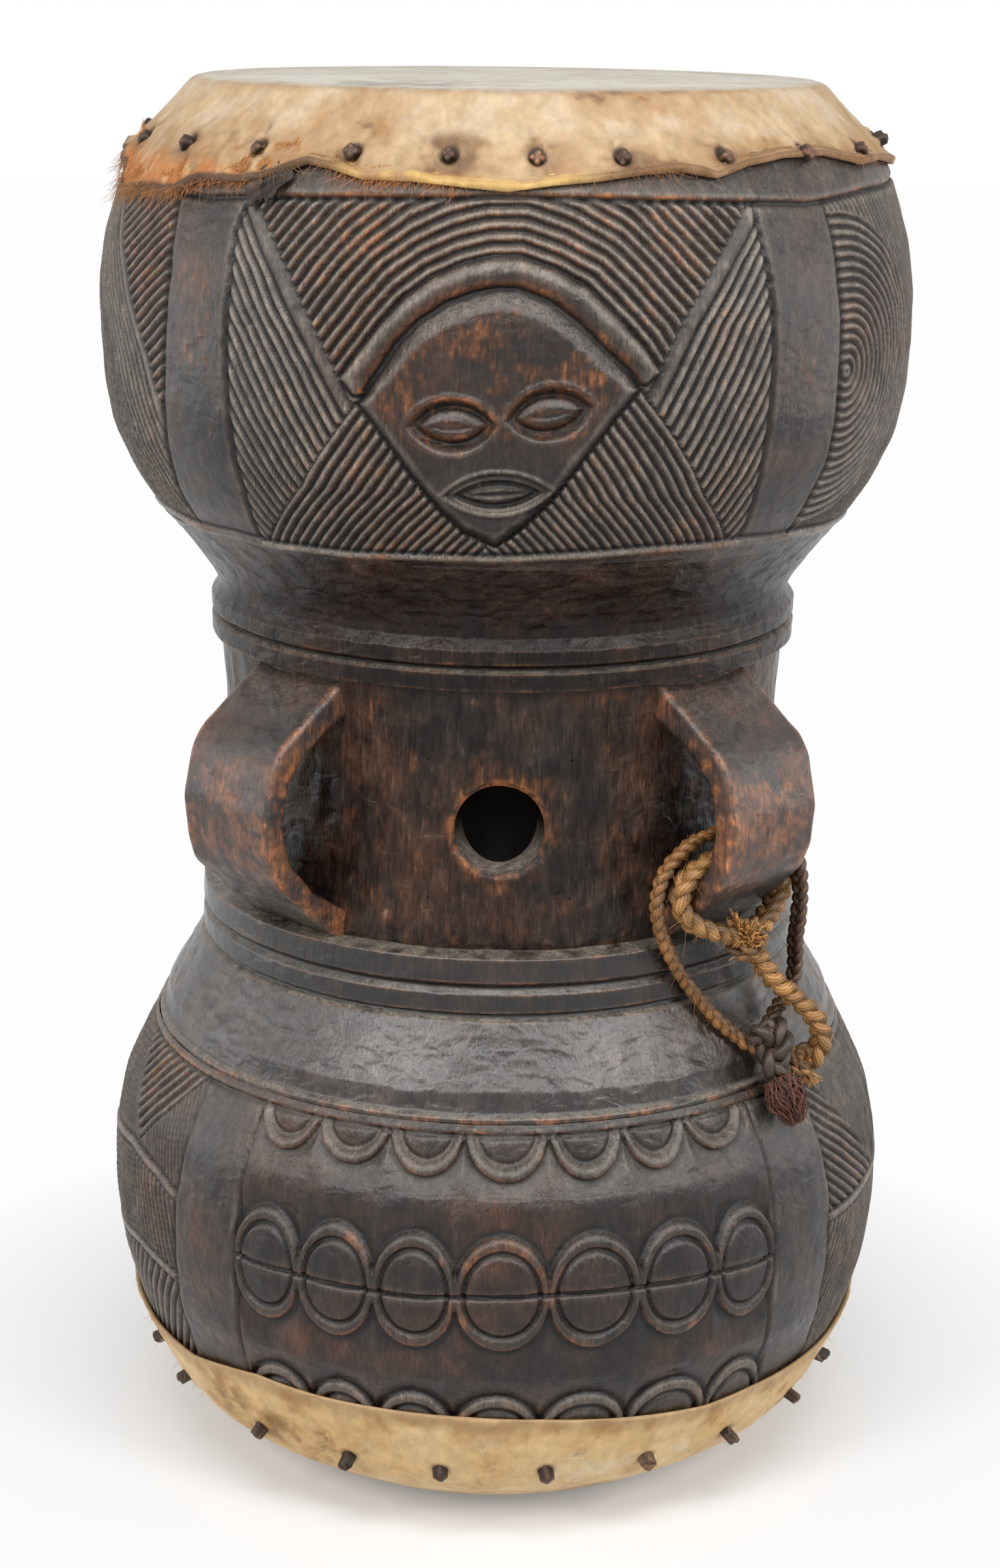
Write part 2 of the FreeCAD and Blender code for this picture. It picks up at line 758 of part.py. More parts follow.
def carved_log():
    """The whole log: blank, sunk fields, mask, handles and sound hole."""
    mouth_place = (0, upper_level(mouth_height_share))
    hollows = [(eye_width, eye_height, *place) for place in eye_places()]
    hollows.append((mouth_width, mouth_height, *mouth_place))
    log = log_blank().cut(carved_fields())
    log = log.cut([pocket(*hollow) for hollow in hollows])
    handles = [handle(angle) for angle in (-handle_angle, handle_angle, 180 - handle_angle, 180 + handle_angle)]
    return log.fuse([bean(*hollow) for hollow in hollows] + handles).cut(sound_hole())


def build():
    """All the drum's pieces by name."""
    pieces = pegs()
    peg_solids = list(pieces.values())
    log = carved_log()
    pieces["drum_body"] = log.cut(peg_solids)
    pieces["top_skin"] = top_skin().cut(peg_solids)
    pieces["bottom_skin"] = bottom_skin().cut(peg_solids)
    pieces["hide_scrap"] = scrap().cut(log)
    pieces.update(rope_pieces())
    return pieces


def main():
    os.makedirs("parts", exist_ok=True)
    for name, shape in build().items():
        shape.exportStep(f"parts/{name}.step")
        print(name, len(shape.Solids), shape.isValid(), round(shape.Volume))


main()
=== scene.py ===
import math

import bpy
import numpy as np
from mathutils import Matrix, Vector


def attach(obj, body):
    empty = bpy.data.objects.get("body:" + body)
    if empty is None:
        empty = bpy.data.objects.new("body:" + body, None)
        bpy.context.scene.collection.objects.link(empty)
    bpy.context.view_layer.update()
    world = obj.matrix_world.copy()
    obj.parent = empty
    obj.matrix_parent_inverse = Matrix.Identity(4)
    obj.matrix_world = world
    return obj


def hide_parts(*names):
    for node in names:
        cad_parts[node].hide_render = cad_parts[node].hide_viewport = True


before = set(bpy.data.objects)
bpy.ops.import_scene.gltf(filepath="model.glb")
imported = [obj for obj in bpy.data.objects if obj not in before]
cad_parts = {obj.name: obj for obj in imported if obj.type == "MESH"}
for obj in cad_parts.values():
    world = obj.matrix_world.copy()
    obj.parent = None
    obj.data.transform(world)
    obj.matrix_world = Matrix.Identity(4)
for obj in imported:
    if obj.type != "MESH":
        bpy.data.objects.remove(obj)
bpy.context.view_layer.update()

scene = bpy.context.scene
MM = 0.001

# Camera
CAMERA_PLACE = (0.0, -1.2414, 0.6524)
CAMERA_DOWN, CAMERA_ROLL = math.radians(90 - 15.92), 0.0128

camera = bpy.data.objects.new("camera", bpy.data.cameras.new("camera"))
scene.collection.objects.link(camera)
camera.data.sensor_width = 36.0
camera.data.lens = 65.54
camera.data.clip_start = 0.05
camera.data.clip_end = 30.0
camera.matrix_world = (
    Matrix.Translation(CAMERA_PLACE)
    @ Matrix.Rotation(CAMERA_DOWN, 4, "X")
    @ Matrix.Rotation(CAMERA_ROLL, 4, "Z")
)
scene.camera = camera


# Noise and fields
def lattice(ix, iy, iz, seed):
    """A fixed number from -1 to 1 for each whole-number point."""
    n = ix * 374761393 + iy * 668265263 + iz * 974634777 + seed * 144269504
    n &= 0xFFFFFFFF
    n = ((n ^ (n >> 13)) * 1274126177) & 0xFFFFFFFF
    return ((n ^ (n >> 16)) & 0xFFFFFF) / 8388607.5 - 1.0


def noise(p, scale, seed=0):
    """Value noise from -1 to 1 at points p in mm, with features about scale mm across."""
    q = np.asarray(p) / scale
    i = np.floor(q).astype(np.int64)
    f = q - i
    f = f * f * (3 - 2 * f)
    x, y, z = i[..., 0], i[..., 1], i[..., 2]
    fx, fy, fz = f[..., 0], f[..., 1], f[..., 2]
    total = 0
    for dx in (0, 1):
        for dy in (0, 1):
            for dz in (0, 1):
                w = (fx if dx else 1 - fx) * (fy if dy else 1 - fy) * (fz if dz else 1 - fz)
                total = total + w * lattice(x + dx, y + dy, z + dz, seed)
    return total


def clouds(p, scale, seed=0, octaves=3):
    total, size, weight = 0, 1.0, 1.0
    for k in range(octaves):
        total = total + weight * noise(p, scale * size, seed + 17 * k)
        size *= 0.5
        weight *= 0.55
    return total / 1.6


def facets(p, cell, seed=0):
    """Shallow scoops that a hand tool leaves: 0 at their middles, 1 on the crests between them."""
    q = np.asarray(p) / cell
    i = np.floor(q).astype(np.int64)
    best = np.full(q.shape[:-1], 9.0)
    second = best.copy()
    for dx in (-1, 0, 1):
        for dy in (-1, 0, 1):
            for dz in (-1, 0, 1):
                c = i + (dx, dy, dz)
                d = 0
                for k in range(3):
                    spot = c[..., k] + 0.5 + 0.42 * lattice(c[..., 0], c[..., 1], c[..., 2], seed + 31 * k)
                    d = d + (q[..., k] - spot) ** 2
                second = np.where(d < best, best, np.minimum(second, d))
                best = np.minimum(best, d)
    return np.sqrt(best) / (np.sqrt(second) + 1e-6)


def smooth(x, lo=0.0, hi=1.0):
    """Soft step: 0 up to lo, 1 from hi on."""
    t = np.clip((x - lo) / (hi - lo), 0, 1)
    return t * t * (3 - 2 * t)


def bell(x, width, power=2):
    """1 at x = 0, falling off over width each way."""
    return np.exp(-(x / width) ** power)


def dome(x):
    """Round shoulder: 0 at x = 0, 1 from x = 1 on."""
    return np.sqrt(np.clip(x, 0, 1))


def blur(a, n, wrap=False):
    """Box blur over 2n+1 samples each way."""
    for axis in (0, 1):
        pad = [(0, 0), (0, 0)]
        pad[axis] = (n + 1, n)
        c = np.cumsum(np.pad(a, pad, mode="wrap" if wrap and axis else "edge"), axis=axis)
        size = a.shape[axis]
        a = (np.take(c, range(2 * n + 1, size + 2 * n + 1), axis) - np.take(c, range(size), axis)) / (2 * n + 1)
    return a


def mix(a, b, t):
    t = np.clip(t, 0, 1)[..., None]
    return a * (1 - t) + b * t


def choose(default, *cases):
    """default, overruled by each (where, value) in turn."""
    for where, value in cases:
        default = np.where(where, value, default)
    return default


def run_of(points):
    """Length run along a line to each of its points."""
    steps = np.diff(points, axis=0)
    size = np.hypot(*steps.T) if steps.shape[1] == 2 else np.linalg.norm(steps, axis=1)
    return np.concatenate([[0], np.cumsum(size)])


def at_runs(s, run, points):
    """The places on a line at lengths s along it."""
    return np.stack([np.interp(s, run, points[:, k]) for k in range(points.shape[1])], -1)


def unit(v):
    return v / np.linalg.norm(v)


def turned(theta):
    """Angle in degrees from -180 to 180."""
    return (theta + 180) % 360 - 180


def table(z, zs, rs, soft=7):
    """Smooth profile: straight runs between measured points, rounded over soft mm."""
    grid = np.arange(zs[0] - 3 * soft, zs[-1] + 3 * soft, 0.5)
    lo = rs[0] + (grid - zs[0]) * (rs[1] - rs[0]) / (zs[1] - zs[0])
    hi = rs[-1] + (grid - zs[-1]) * (rs[-1] - rs[-2]) / (zs[-1] - zs[-2])
    r = np.where(grid < zs[0], lo, np.where(grid > zs[-1], hi, np.interp(grid, zs, rs)))
    n = max(1, int(soft))
    for _ in range(2):
        r = np.convolve(np.pad(r, n, mode="edge"), np.ones(2 * n + 1) / (2 * n + 1), "valid")
    return np.interp(z, grid, r)


def shell(theta, z, r):
    """Points in mm round the axis; angle 0 is the front."""
    a = np.radians(theta)
    return np.stack([r * np.sin(a), -r * np.cos(a), z], -1)


# Millimetres round the bowls for each degree; borders are measured as (angle, height)
DEG = 3.0


def line_side(x, z, line):
    """Distance in mm to the right of a border that climbs the bowl."""
    zs = np.array([p[1] for p in line])
    xs = np.array([p[0] for p in line]) * DEG
    lo, hi = (xs[1] - xs[0]) / (zs[1] - zs[0]), (xs[-1] - xs[-2]) / (zs[-1] - zs[-2])
    at = choose(np.interp(z, zs, xs), (z > zs[-1], xs[-1] + (z - zs[-1]) * hi), (z < zs[0], xs[0] + (z - zs[0]) * lo))
    slope = (xs[-1] - xs[0]) / (zs[-1] - zs[0])
    return (x - at) / math.hypot(1, slope)


def outline_side(x, z, outline):
    """Distance in mm outside a closed outline, negative inside."""
    pts = [(a * DEG, b) for a, b in outline]
    best = np.full(x.shape, 1e9)
    inside = np.zeros(x.shape, bool)
    for (x0, z0), (x1, z1) in zip(pts, pts[1:] + pts[:1]):
        dx, dz = x1 - x0, z1 - z0
        t = np.clip(((x - x0) * dx + (z - z0) * dz) / (dx * dx + dz * dz), 0, 1)
        best = np.minimum(best, (x - x0 - t * dx) ** 2 + (z - z0 - t * dz) ** 2)
        if z0 != z1:
            inside ^= ((z0 > z) != (z1 > z)) & (x < x0 + (z - z0) * dx / dz)
    return np.where(inside, -1, 1) * np.sqrt(best)


def almond(x, z, centre, width, height, tilt):
    """Distance in mm outside a pointed oval, and the height over its long axis."""
    c, s = math.cos(math.radians(tilt)), math.sin(math.radians(tilt))
    dx, dz = x - centre[0] * DEG, z - centre[1]
    u, v = dx * c + dz * s, -dx * s + dz * c
    big = (width ** 2 + height ** 2) / (4 * height)
    off = big - height / 2
    return np.maximum(np.hypot(u, v + off), np.hypot(u, v - off)) - big, v


def ridges(d, pitch, depth, power=0.95):
    """Height of close ridges, 0 on their crests, that run along the lines of equal d."""
    return -depth * (1 - np.abs(np.sin(np.pi * d / pitch)) ** power)


# Meshes
POLE_STRIP = 0.02  # share of the UV square's height that a fan of triangles takes


def corners(*spots):
    """UV pairs of the corners of every face, face by face."""
    return np.stack([np.stack(spot, -1) for spot in spots], 1).reshape(-1, 2)


def grid_mesh(name, points, tone, wrap=False, wrap_rows=False, pole=None, keep=None):
    """Mesh of a grid of points in mm, rows by columns, with a tone for each point. A fan to pole closes it."""
    rows, cols = points.shape[:2]
    tall, wide = rows - (not wrap_rows), cols - (not wrap)
    verts, rgba = points.reshape(-1, 3) * MM, tone.reshape(-1, 4)
    i, j = (a.ravel() for a in np.meshgrid(np.arange(tall), np.arange(wide), indexing="ij"))
    if keep is not None:
        held = keep[i, j]
        i, j = i[held], j[held]
    i2, j2 = (i + 1) % rows, (j + 1) % cols
    loops = np.stack([i * cols + j, i * cols + j2, i2 * cols + j2, i2 * cols + j], -1).ravel()
    counts = np.full(len(i), 4)
    u0, u1, v0, v1 = j / wide, (j + 1) / wide, i / tall, (i + 1) / tall
    if pole is not None:
        v0, v1 = POLE_STRIP + 0.98 * v0, POLE_STRIP + 0.98 * v1
    uv = corners((u0, v0), (u1, v0), (u1, v1), (u0, v1))
    if pole is not None:
        tip = len(verts)
        verts = np.vstack([verts, np.array(pole, float)[None] * MM])
        rgba = np.vstack([rgba, rgba[:cols].mean(0)[None]])
        j = np.arange(wide)
        top = 0 * j + POLE_STRIP
        loops = np.concatenate([loops, np.stack([np.full(wide, tip), (j + 1) % cols, j], -1).ravel()])
        counts = np.concatenate([counts, np.full(wide, 3)])
        uv = np.vstack([uv, corners(((j + 0.5) / wide, 0 * j), ((j + 1) / wide, top), (j / wide, top))])
    return put(name, verts, loops, counts, uv, rgba)


def put(name, verts, loops, counts, uv, rgba):
    mesh = bpy.data.meshes.new(name)
    mesh.vertices.add(len(verts))
    mesh.vertices.foreach_set("co", np.ascontiguousarray(verts, dtype=np.float32).ravel())
    mesh.loops.add(len(loops))
    mesh.loops.foreach_set("vertex_index", loops.astype(np.int32))
    mesh.polygons.add(len(counts))
    mesh.polygons.foreach_set("loop_start", (np.cumsum(counts) - counts).astype(np.int32))
    layer = mesh.uv_layers.new(name="OFBake")
    layer.data.foreach_set("uv", uv.astype(np.float32).ravel())
    colour = mesh.color_attributes.new(name="tone", type="FLOAT_COLOR", domain="POINT")
    colour.data.foreach_set("color", np.ascontiguousarray(rgba, dtype=np.float32).ravel())
    mesh.update(calc_edges=True)
    mesh.validate(clean_customdata=False)
    mesh.polygons.foreach_set("use_smooth", np.ones(len(mesh.polygons), bool))
    piece = bpy.data.objects.new(name, mesh)
    scene.collection.objects.link(piece)
    return piece


def turned_frames(ahead):
    """Two directions across a line at each of its points, with no twist between them."""
    side = np.zeros_like(ahead)
    start = np.array([0.0, 0.0, 1.0]) if abs(ahead[0][2]) < 0.9 else np.array([1.0, 0.0, 0.0])
    s = unit(np.cross(ahead[0], start))
    for k in range(len(ahead)):
        s = s - ahead[k] * np.dot(s, ahead[k])
        s /= np.linalg.norm(s) + 1e-12
        side[k] = s
    return side, np.cross(ahead, side)


def frames(line):
    """Directions along and across a line at each of its points."""
    ahead = np.gradient(line, axis=0)
    ahead /= np.linalg.norm(ahead, axis=1)[:, None]
    return ahead, *turned_frames(ahead)


def cells(counts):
    """Each face gets a small cell of its own in the UV square."""
    total = len(counts)
    across = math.ceil(math.sqrt(total))
    k = np.repeat(np.arange(total), counts)
    corner = np.arange(len(k)) - np.repeat(np.cumsum(counts) - counts, counts)
    u = (k % across + np.where((corner == 1) | (corner == 2), 0.9, 0.1)) / across
    v = (k // across + np.where(corner >= 2, 0.9, 0.1)) / across
    return np.stack([u, v], -1)


class Strands:
    """Gathers many thin tubes into one mesh."""

    def __init__(self):
        self.verts, self.loops, self.rgba, self.count = [], [], [], 0

    def tube(self, line, radius, sides, colour, twist=0.0, lobes=0, lobe_depth=0.0, capped=True):
        """A tube along a line of points in mm, as thick as radius says at each point. lobes are its straws."""
        line = np.asarray(line, float)
        n = len(line)
        radius = np.broadcast_to(np.asarray(radius, float), (n,))
        ahead = np.gradient(line, axis=0)
        ahead /= np.linalg.norm(ahead, axis=1)[:, None] + 1e-12
        side, up = turned_frames(ahead)
        run = run_of(line)
        angle = np.arange(sides) / sides * 2 * np.pi
        phase = lobes * angle[None] + twist * run[:, None]
        swell = 1 + lobe_depth * np.cos(phase) if lobes else np.ones((n, sides))
        ring = line[:, None] + (radius[:, None] * swell)[..., None] * (
            np.cos(angle)[None, :, None] * side[:, None] + np.sin(angle)[None, :, None] * up[:, None])
        if np.ndim(colour) == 2:
            colour = np.repeat(colour[:, None], sides, 1)
        else:
            colour = np.broadcast_to(np.asarray(colour, float), (n, sides, 4))
        if lobes:
            straw = np.round(phase / (2 * np.pi)) % lobes
            spot = [run[:, None] * 0.11 + 0 * phase, straw * 7.7 + line[0, 0], 0 * phase + line[0, 2]]
            own = noise(np.stack(spot, -1), 1.0, 641)
            shade = (0.24 + 0.76 * smooth(np.cos(phase), -1, 0.35)) * (1 + 0.42 * own)
            colour = np.concatenate([colour[..., :3] * shade[..., None], colour[..., 3:]], -1)
        base = self.count
        i, j = (a.ravel() for a in np.meshgrid(np.arange(n - 1), np.arange(sides), indexing="ij"))
        j2 = (j + 1) % sides
        quads = base + np.stack([i * sides + j, i * sides + j2, (i + 1) * sides + j2, (i + 1) * sides + j], -1)
        self.verts.append(ring.reshape(-1, 3) * MM)
        self.rgba.append(colour.reshape(-1, 4))
        self.loops.append((quads, 4))
        self.count += n * sides
        for end, order in ((0, -1), (n - 1, 1)) if capped else ():
            tip = line[end] + ahead[end] * (0.4 * radius[end]) * order
            self.verts.append(tip[None] * MM)
            self.rgba.append(colour[end].mean(0)[None])
            a = base + end * sides + np.arange(sides)
            b = base + end * sides + (np.arange(sides) + 1) % sides
            t = np.full(sides, self.count)
            self.loops.append((np.stack([t, a, b] if order > 0 else [t, b, a], -1), 3))
            self.count += 1

    def build(self, name):
        loops = np.concatenate([f.ravel() for f, _ in self.loops])
        counts = np.concatenate([np.full(len(f), n) for f, n in self.loops])
        return put(name, np.vstack(self.verts), loops, counts, cells(counts), np.vstack(self.rgba))


# Materials
def tree_of(name):
    material = bpy.data.materials.new(name)
    material.use_nodes = True
    tree = material.node_tree
    tree.nodes.clear()
    out = tree.nodes.new("ShaderNodeOutputMaterial")
    shader = tree.nodes.new("ShaderNodeBsdfPrincipled")
    tree.links.new(shader.outputs[0], out.inputs[0])
    return material, tree, shader


def add(tree, kind, **inputs):
    """A new node; each input is a number, a colour or the socket to link."""
    node = tree.nodes.new("ShaderNode" + kind)
    for key, value in inputs.items():
        socket = node.inputs[key.replace("_", " ")]
        if isinstance(value, bpy.types.NodeSocket):
            tree.links.new(value, socket)
        else:
            socket.default_value = value
    return node


def add_noise(tree, place, stretch, scale, detail=4.0, rough=0.6, distortion=0.0):
    spot = add(tree, "Mapping", Scale=stretch, Vector=place).outputs[0]
    return add(tree, "TexNoise", Scale=scale, Detail=detail, Roughness=rough, Distortion=distortion,
               Vector=spot).outputs[0]


def ranged(tree, value, a, b, lo, hi):
    return add(tree, "MapRange", From_Min=a, From_Max=b, To_Min=lo, To_Max=hi, Value=value).outputs[0]


def fill(tree, node, *pairs):
    """Set or link sockets by their numbers."""
    for k, value in pairs:
        if isinstance(value, bpy.types.NodeSocket):
            tree.links.new(value, node.inputs[k])
        else:
            node.inputs[k].default_value = (*value, 1.0) if isinstance(value, tuple) else value


def sum_of(tree, a, b, how="ADD"):
    node = tree.nodes.new("ShaderNodeMath")
    node.operation = how
    fill(tree, node, (0, a), (1, b))
    return node.outputs[0]


def blended(tree, how, factor, a, b):
    node = tree.nodes.new("ShaderNodeMix")
    node.data_type = "RGBA"
    node.blend_type = how
    fill(tree, node, (0, factor), (6, a), (7, b))
    return node.outputs[2]


def toned(name, stretch, scale, contrast, flecks, bump, bump_scale, specular, mottle=None, dents=None):
    """Material whose colour is the mesh's tone, broken up by fine noise, with its roughness in the tone's alpha.

    mottle is the scale and strength of larger patches, dents the scale and depth in metres of shallow hollows.
    """
    material, tree, shader = tree_of(name)

    def times(colour, value, a, b, lo, hi):
        return blended(tree, "MULTIPLY", 1.0, colour, ranged(tree, value, a, b, lo, hi))

    place = add(tree, "TexCoord").outputs["Object"]
    tone = add(tree, "VertexColor")
    tone.layer_name = "tone"
    grain = add_noise(tree, place, stretch, scale, 6.0, 0.62)
    colour = times(tone.outputs[0], grain, 0.28, 0.72, 1 - contrast, 1 + contrast)
    rough = sum_of(tree, tone.outputs[1], ranged(tree, grain, 0.3, 0.7, -0.08, 0.08))
    if mottle:
        patch = add_noise(tree, place, (1, 1, 0.55), mottle[0], 5.0, 0.68, 0.35)
        colour = times(colour, patch, 0.32, 0.68, 1 - mottle[1], 1 + mottle[1])
        rough = sum_of(tree, rough, ranged(tree, patch, 0.32, 0.68, 0.07, -0.07))
    if flecks:
        fleck = add_noise(tree, place, stretch, scale * 0.55, 8.0, 0.75, 0.4)
        colour = times(colour, fleck, 0.56, 0.74, 1.0, flecks)
        pore = add_noise(tree, place, (1, 1, 0.07), scale * 1.5, 3.0, 0.5)
        colour = times(colour, pore, 0.34, 0.46, 0.45, 1.0)
    tree.links.new(colour, shader.inputs["Base Color"])
    tree.links.new(rough, shader.inputs["Roughness"])
    shader.inputs["Specular IOR Level"].default_value = specular
    fine = add_noise(tree, place, stretch, bump_scale, 5.0, 0.6)
    relief = add(tree, "Bump", Strength=bump[0], Distance=bump[1])
    tree.links.new(sum_of(tree, fine, sum_of(tree, grain, 0.8, "MULTIPLY")), relief.inputs["Height"])
    if dents:
        dent = add_noise(tree, place, (1, 1, 1.5), dents[0], 2.0, 0.45, 0.6)
        hollow = add(tree, "Bump", Strength=1.0, Distance=dents[1], Height=dent)
        tree.links.new(hollow.outputs[0], relief.inputs["Normal"])
    tree.links.new(relief.outputs[0], shader.inputs["Normal"])
    return material


wood = toned("wood", (1, 1, 0.3), 900.0, 0.32, 2.3, (0.5, 0.0005), 1400.0, 0.42, (210.0, 0.34), (110.0, 0.0008))
wood_plain = toned("wood_plain", (1, 1, 0.35), 620.0, 0.38, 2.6, (0.5, 0.0005), 1100.0, 0.62,
                   (170.0, 0.42), (75.0, 0.0013))
wood_dull = toned("wood_dull", (1, 1, 0.22), 700.0, 0.42, 3.2, (0.5, 0.0005), 1100.0, 0.2,
                  (190.0, 0.42), (80.0, 0.0018))
wood_inside = toned("wood_inside", (1, 1, 0.3), 400.0, 0.3, None, (0.5, 0.0006), 900.0, 0.05)
hide = toned("hide", (1, 1, 0.45), 260.0, 0.15, None, (0.4, 0.0006), 900.0, 0.32, (120.0, 0.10))
fibre = toned("fibre", (1, 1, 1), 1500.0, 0.22, None, (0.3, 0.0003), 2500.0, 0.45)
stick = toned("stick", (1, 1, 1), 900.0, 0.35, 1.8, (0.5, 0.0005), 1300.0, 0.4)


def finish(piece, material, slot, *nodes):
    piece.data.materials.append(material)
    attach(piece, "root")
    if nodes:
        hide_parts(*nodes)
    return piece


def log_piece(name, points, tone, material, **how):
    """A piece of the carved log."""
    return finish(grid_mesh(name, points, tone, **how), material, "dark_wood", "drum_body")


# Colours
GROOVE = np.array([0.0045, 0.003, 0.0025])
PATINA = np.array([0.0115, 0.0082, 0.0070])
UMBER = np.array([0.030, 0.0130, 0.0078])
# Grey of dust, also used for painted sheen and painted light
DUST_AND_SHEEN = np.array([0.105, 0.086, 0.070])
CREST = np.array([0.225, 0.185, 0.145])
BROWN = np.array([0.082, 0.031, 0.0125])
ORANGE = np.array([0.29, 0.102, 0.031])
PALE = np.array([0.33, 0.28, 0.225])


def with_rough(colour, rough):
    """Tone: a colour, and the roughness beside it."""
    return np.concatenate([colour, np.broadcast_to(rough, colour.shape[:-1])[..., None]], -1)


def paint(tone, colour, amount):
    """Lay a colour over a tone, as strongly as amount says at each point."""
    tone[..., :3] = mix(tone[..., :3], colour, amount)


def wood_tone(p, h, step, brown, dust_and_sheen, gloss, size=5, wrap=False, lean=0.0):
    """Tone of carved wood from its relief: dark grooves, worn crests with a painted highlight, dust and painted top
    light where it faces up, brown where down.
    """
    cavity = np.clip((blur(h, size, wrap) - h) / 0.9, -1.6, 1.6)
    up = blur(np.clip(-np.gradient(h, axis=0) / step, -1.2, 1.2), 1, wrap)
    big, mid, fine = clouds(p, 46, 3), clouds(p, 12, 5), clouds(p * (1, 1, 0.22), 2.4, 9)
    col = mix(PATINA, UMBER, smooth(big + 0.6 * mid, -0.45, 0.75))
    col = col * (1 + 0.38 * fine + 0.2 * mid)[..., None]
    crest = smooth(-cavity, 0.08, 0.95)
    lit = smooth(up, 0.1, 0.9)
    low = smooth(-up, 0.08, 0.8)
    # Dust, and painted top light: slopes that face up are painted paler
    dust_and_top_light = 0.10 + 0.5 * lit + 0.42 * smooth(lean, 0.05, 0.75) + 0.22 * mid + 0.15 * fine
    col = mix(col, DUST_AND_SHEEN, dust_and_sheen * np.clip(dust_and_top_light, 0, 1))
    # Pale worn crests, painted lighter where they face up and darker where they face down: painted highlight and
    # painted shade
    rubbed_and_highlit = 0.66 + 0.4 * lit - 0.55 * smooth(-up, 0.1, 0.8) + 0.2 * fine + 0.3 * mid
    col = mix(col, CREST, dust_and_sheen * crest * np.clip(rubbed_and_highlit, 0, 1) * 0.8)
    bare = low * (0.8 + 0.5 * big) + 0.5 * smooth(big + 0.7 * mid, 0.0, 0.9)
    col = mix(col, BROWN, brown * np.clip(bare, 0, 1))
    flecks = 0.75 * low + 0.7 * crest + 0.75 * fine + 0.6 * mid + 0.25 * big
    col = mix(col, ORANGE, brown * smooth(flecks, 0.85, 1.65) * 0.9)
    settled = dust_and_sheen * smooth(lean, 0.22, 0.6) * smooth(0.8 * mid + big + 0.9, 0, 1)
    col = mix(col, mix(GROOVE, DUST_AND_SHEEN * 0.85, settled), smooth(cavity, 0.10, 0.8))
    rough = 0.50 - 0.15 * gloss + 0.07 * mid + 0.05 * fine + 0.25 * smooth(cavity, 0.1, 0.8)
    return with_rough(np.clip(col, 0.001, 1), np.clip(rough, 0.2, 0.9))


# Carving that both bowls share
QUARTERS = (("front", -45, 45), ("right", 45, 135), ("back", 135, 225), ("left", -135, -45))


def waver(p, seed):
    return 0.45 * noise(p, 22, seed) + 0.22 * noise(p, 7, seed + 1)


def tool_marks(h, p, seed, broad, small, fine):
    return h + broad * noise(p, 26, seed) + small * noise(p, 6, seed + 1) + fine * noise(p * (1, 1, 0.4), 2.2, seed + 2)


def cut_line(h, d, depth, width):
    """A cut line along d = 0."""
    return h - depth * bell(d, width)


def looks(where, old, *new):
    """How brown, how dusty with painted sheen, and how glossy the wood is, with new values in some places."""
    return [np.where(where, b, a) for a, b in zip(old, new)]


def on_back_band(xb):
    return (xb > -52 * DEG) & (xb < -38.5 * DEG)


def skin_edge(theta, points, seed, level):
    """Wavy edge of a skin: measured in front, and carried on with the same waves behind."""
    theta = turned(theta)
    a, v = np.array(points, float).T
    p = shell(theta, 0 * theta, 160)
    free = level + 4.0 * (0.8 * noise(p, 34, seed) + 0.4 * noise(p, 13, seed + 1))
    span = smooth(theta, a[0] - 12, a[0]) * smooth(-theta, -a[-1] - 12, -a[-1])
    return free * (1 - span) + np.interp(theta, a, v) * span


def bowl_piece(name, a, b, cols, span, rows, profile, relief):
    theta, z = np.meshgrid(np.linspace(a, b, cols), np.linspace(*span, rows))
    h, (brown, dust_and_sheen, gloss), forehead, band = relief(theta, z)
    r = table(z, *profile)
    p = shell(theta, z, r + h)
    step = (span[1] - span[0]) / (rows - 1)
    tone = wood_tone(p, h, step, brown, dust_and_sheen, gloss, lean=-np.gradient(r, axis=0) / step)
    # Worn brown wood with upright grain
    grain = clouds(p * (1, 1, 0.4), 1.7, 41)
    glow = clouds(p * (0.6, 0.6, 1.1), 9, 43)
    worn = np.clip(brown * np.where(band, smooth(brown, 0.3, 0.9), forehead), 0, 1)
    ember = mix(BROWN * 0.5, ORANGE * 0.8, smooth(grain + 0.7 * glow, 0.15, 1.1) * 0.7)
    paint(tone, ember, worn * smooth(grain + 0.9 * glow, -0.5, 0.5) * 0.82)
    # Fine scuffs
    scuff = smooth(clouds(p, 5, 51) + 0.8 * clouds(p * (1, 1, 0.3), 1.6, 52), 0.85, 1.3) * smooth(dust_and_sheen, 0.3, 0.8)
    paint(tone, PALE, 0.35 * scuff)
    log_piece(name, p, tone, wood)


def bowl(name, front_cols, *how):
    for side, a, b in QUARTERS:
        bowl_piece(name + "_" + side, a, b, front_cols if side == "front" else 300, *how)


# Upper bowl
TOP_EDGE = [(-73.2, 573.9), (-68.9, 563.9), (-60, 566.0), (-52.3, 567.4), (-46.5, 572.1), (-37.2, 574.1),
            (-33, 576.5), (-28.5, 581.5), (-24.8, 580.3), (-19.5, 576.9), (-12.5, 576.8), (-6.9, 575.5),
            (0, 573.9), (6, 576.2), (12, 577.6), (18.1, 579.8), (24, 580.8), (29.4, 578.2), (35.4, 582.2),
            (42.7, 584.5), (52, 584.5), (62, 579.9), (70.5, 580.5), (84.3, 576.5)]
UPPER = ([380, 395, 410, 429, 445, 465, 485, 505, 525, 545, 560, 574, 590, 605],
         [124, 130, 133.5, 149.4, 160, 169.0, 172.6, 173.6, 173.5, 170.6, 166.0, 161.4, 150.5, 141])
ARCH = [(-21.5, 502.9), (-18.8, 513.6), (-16, 524.1), (-12.9, 534.4), (-9.3, 542.5), (-5.3, 547.7), (-1.8, 550.1),
        (1.8, 550.2), (6.1, 545.9), (10.3, 539.3), (13.9, 528.9), (17.6, 517.1), (20, 506.8), (17.9, 503.0),
        (0, 495), (-19.4, 497.2)]
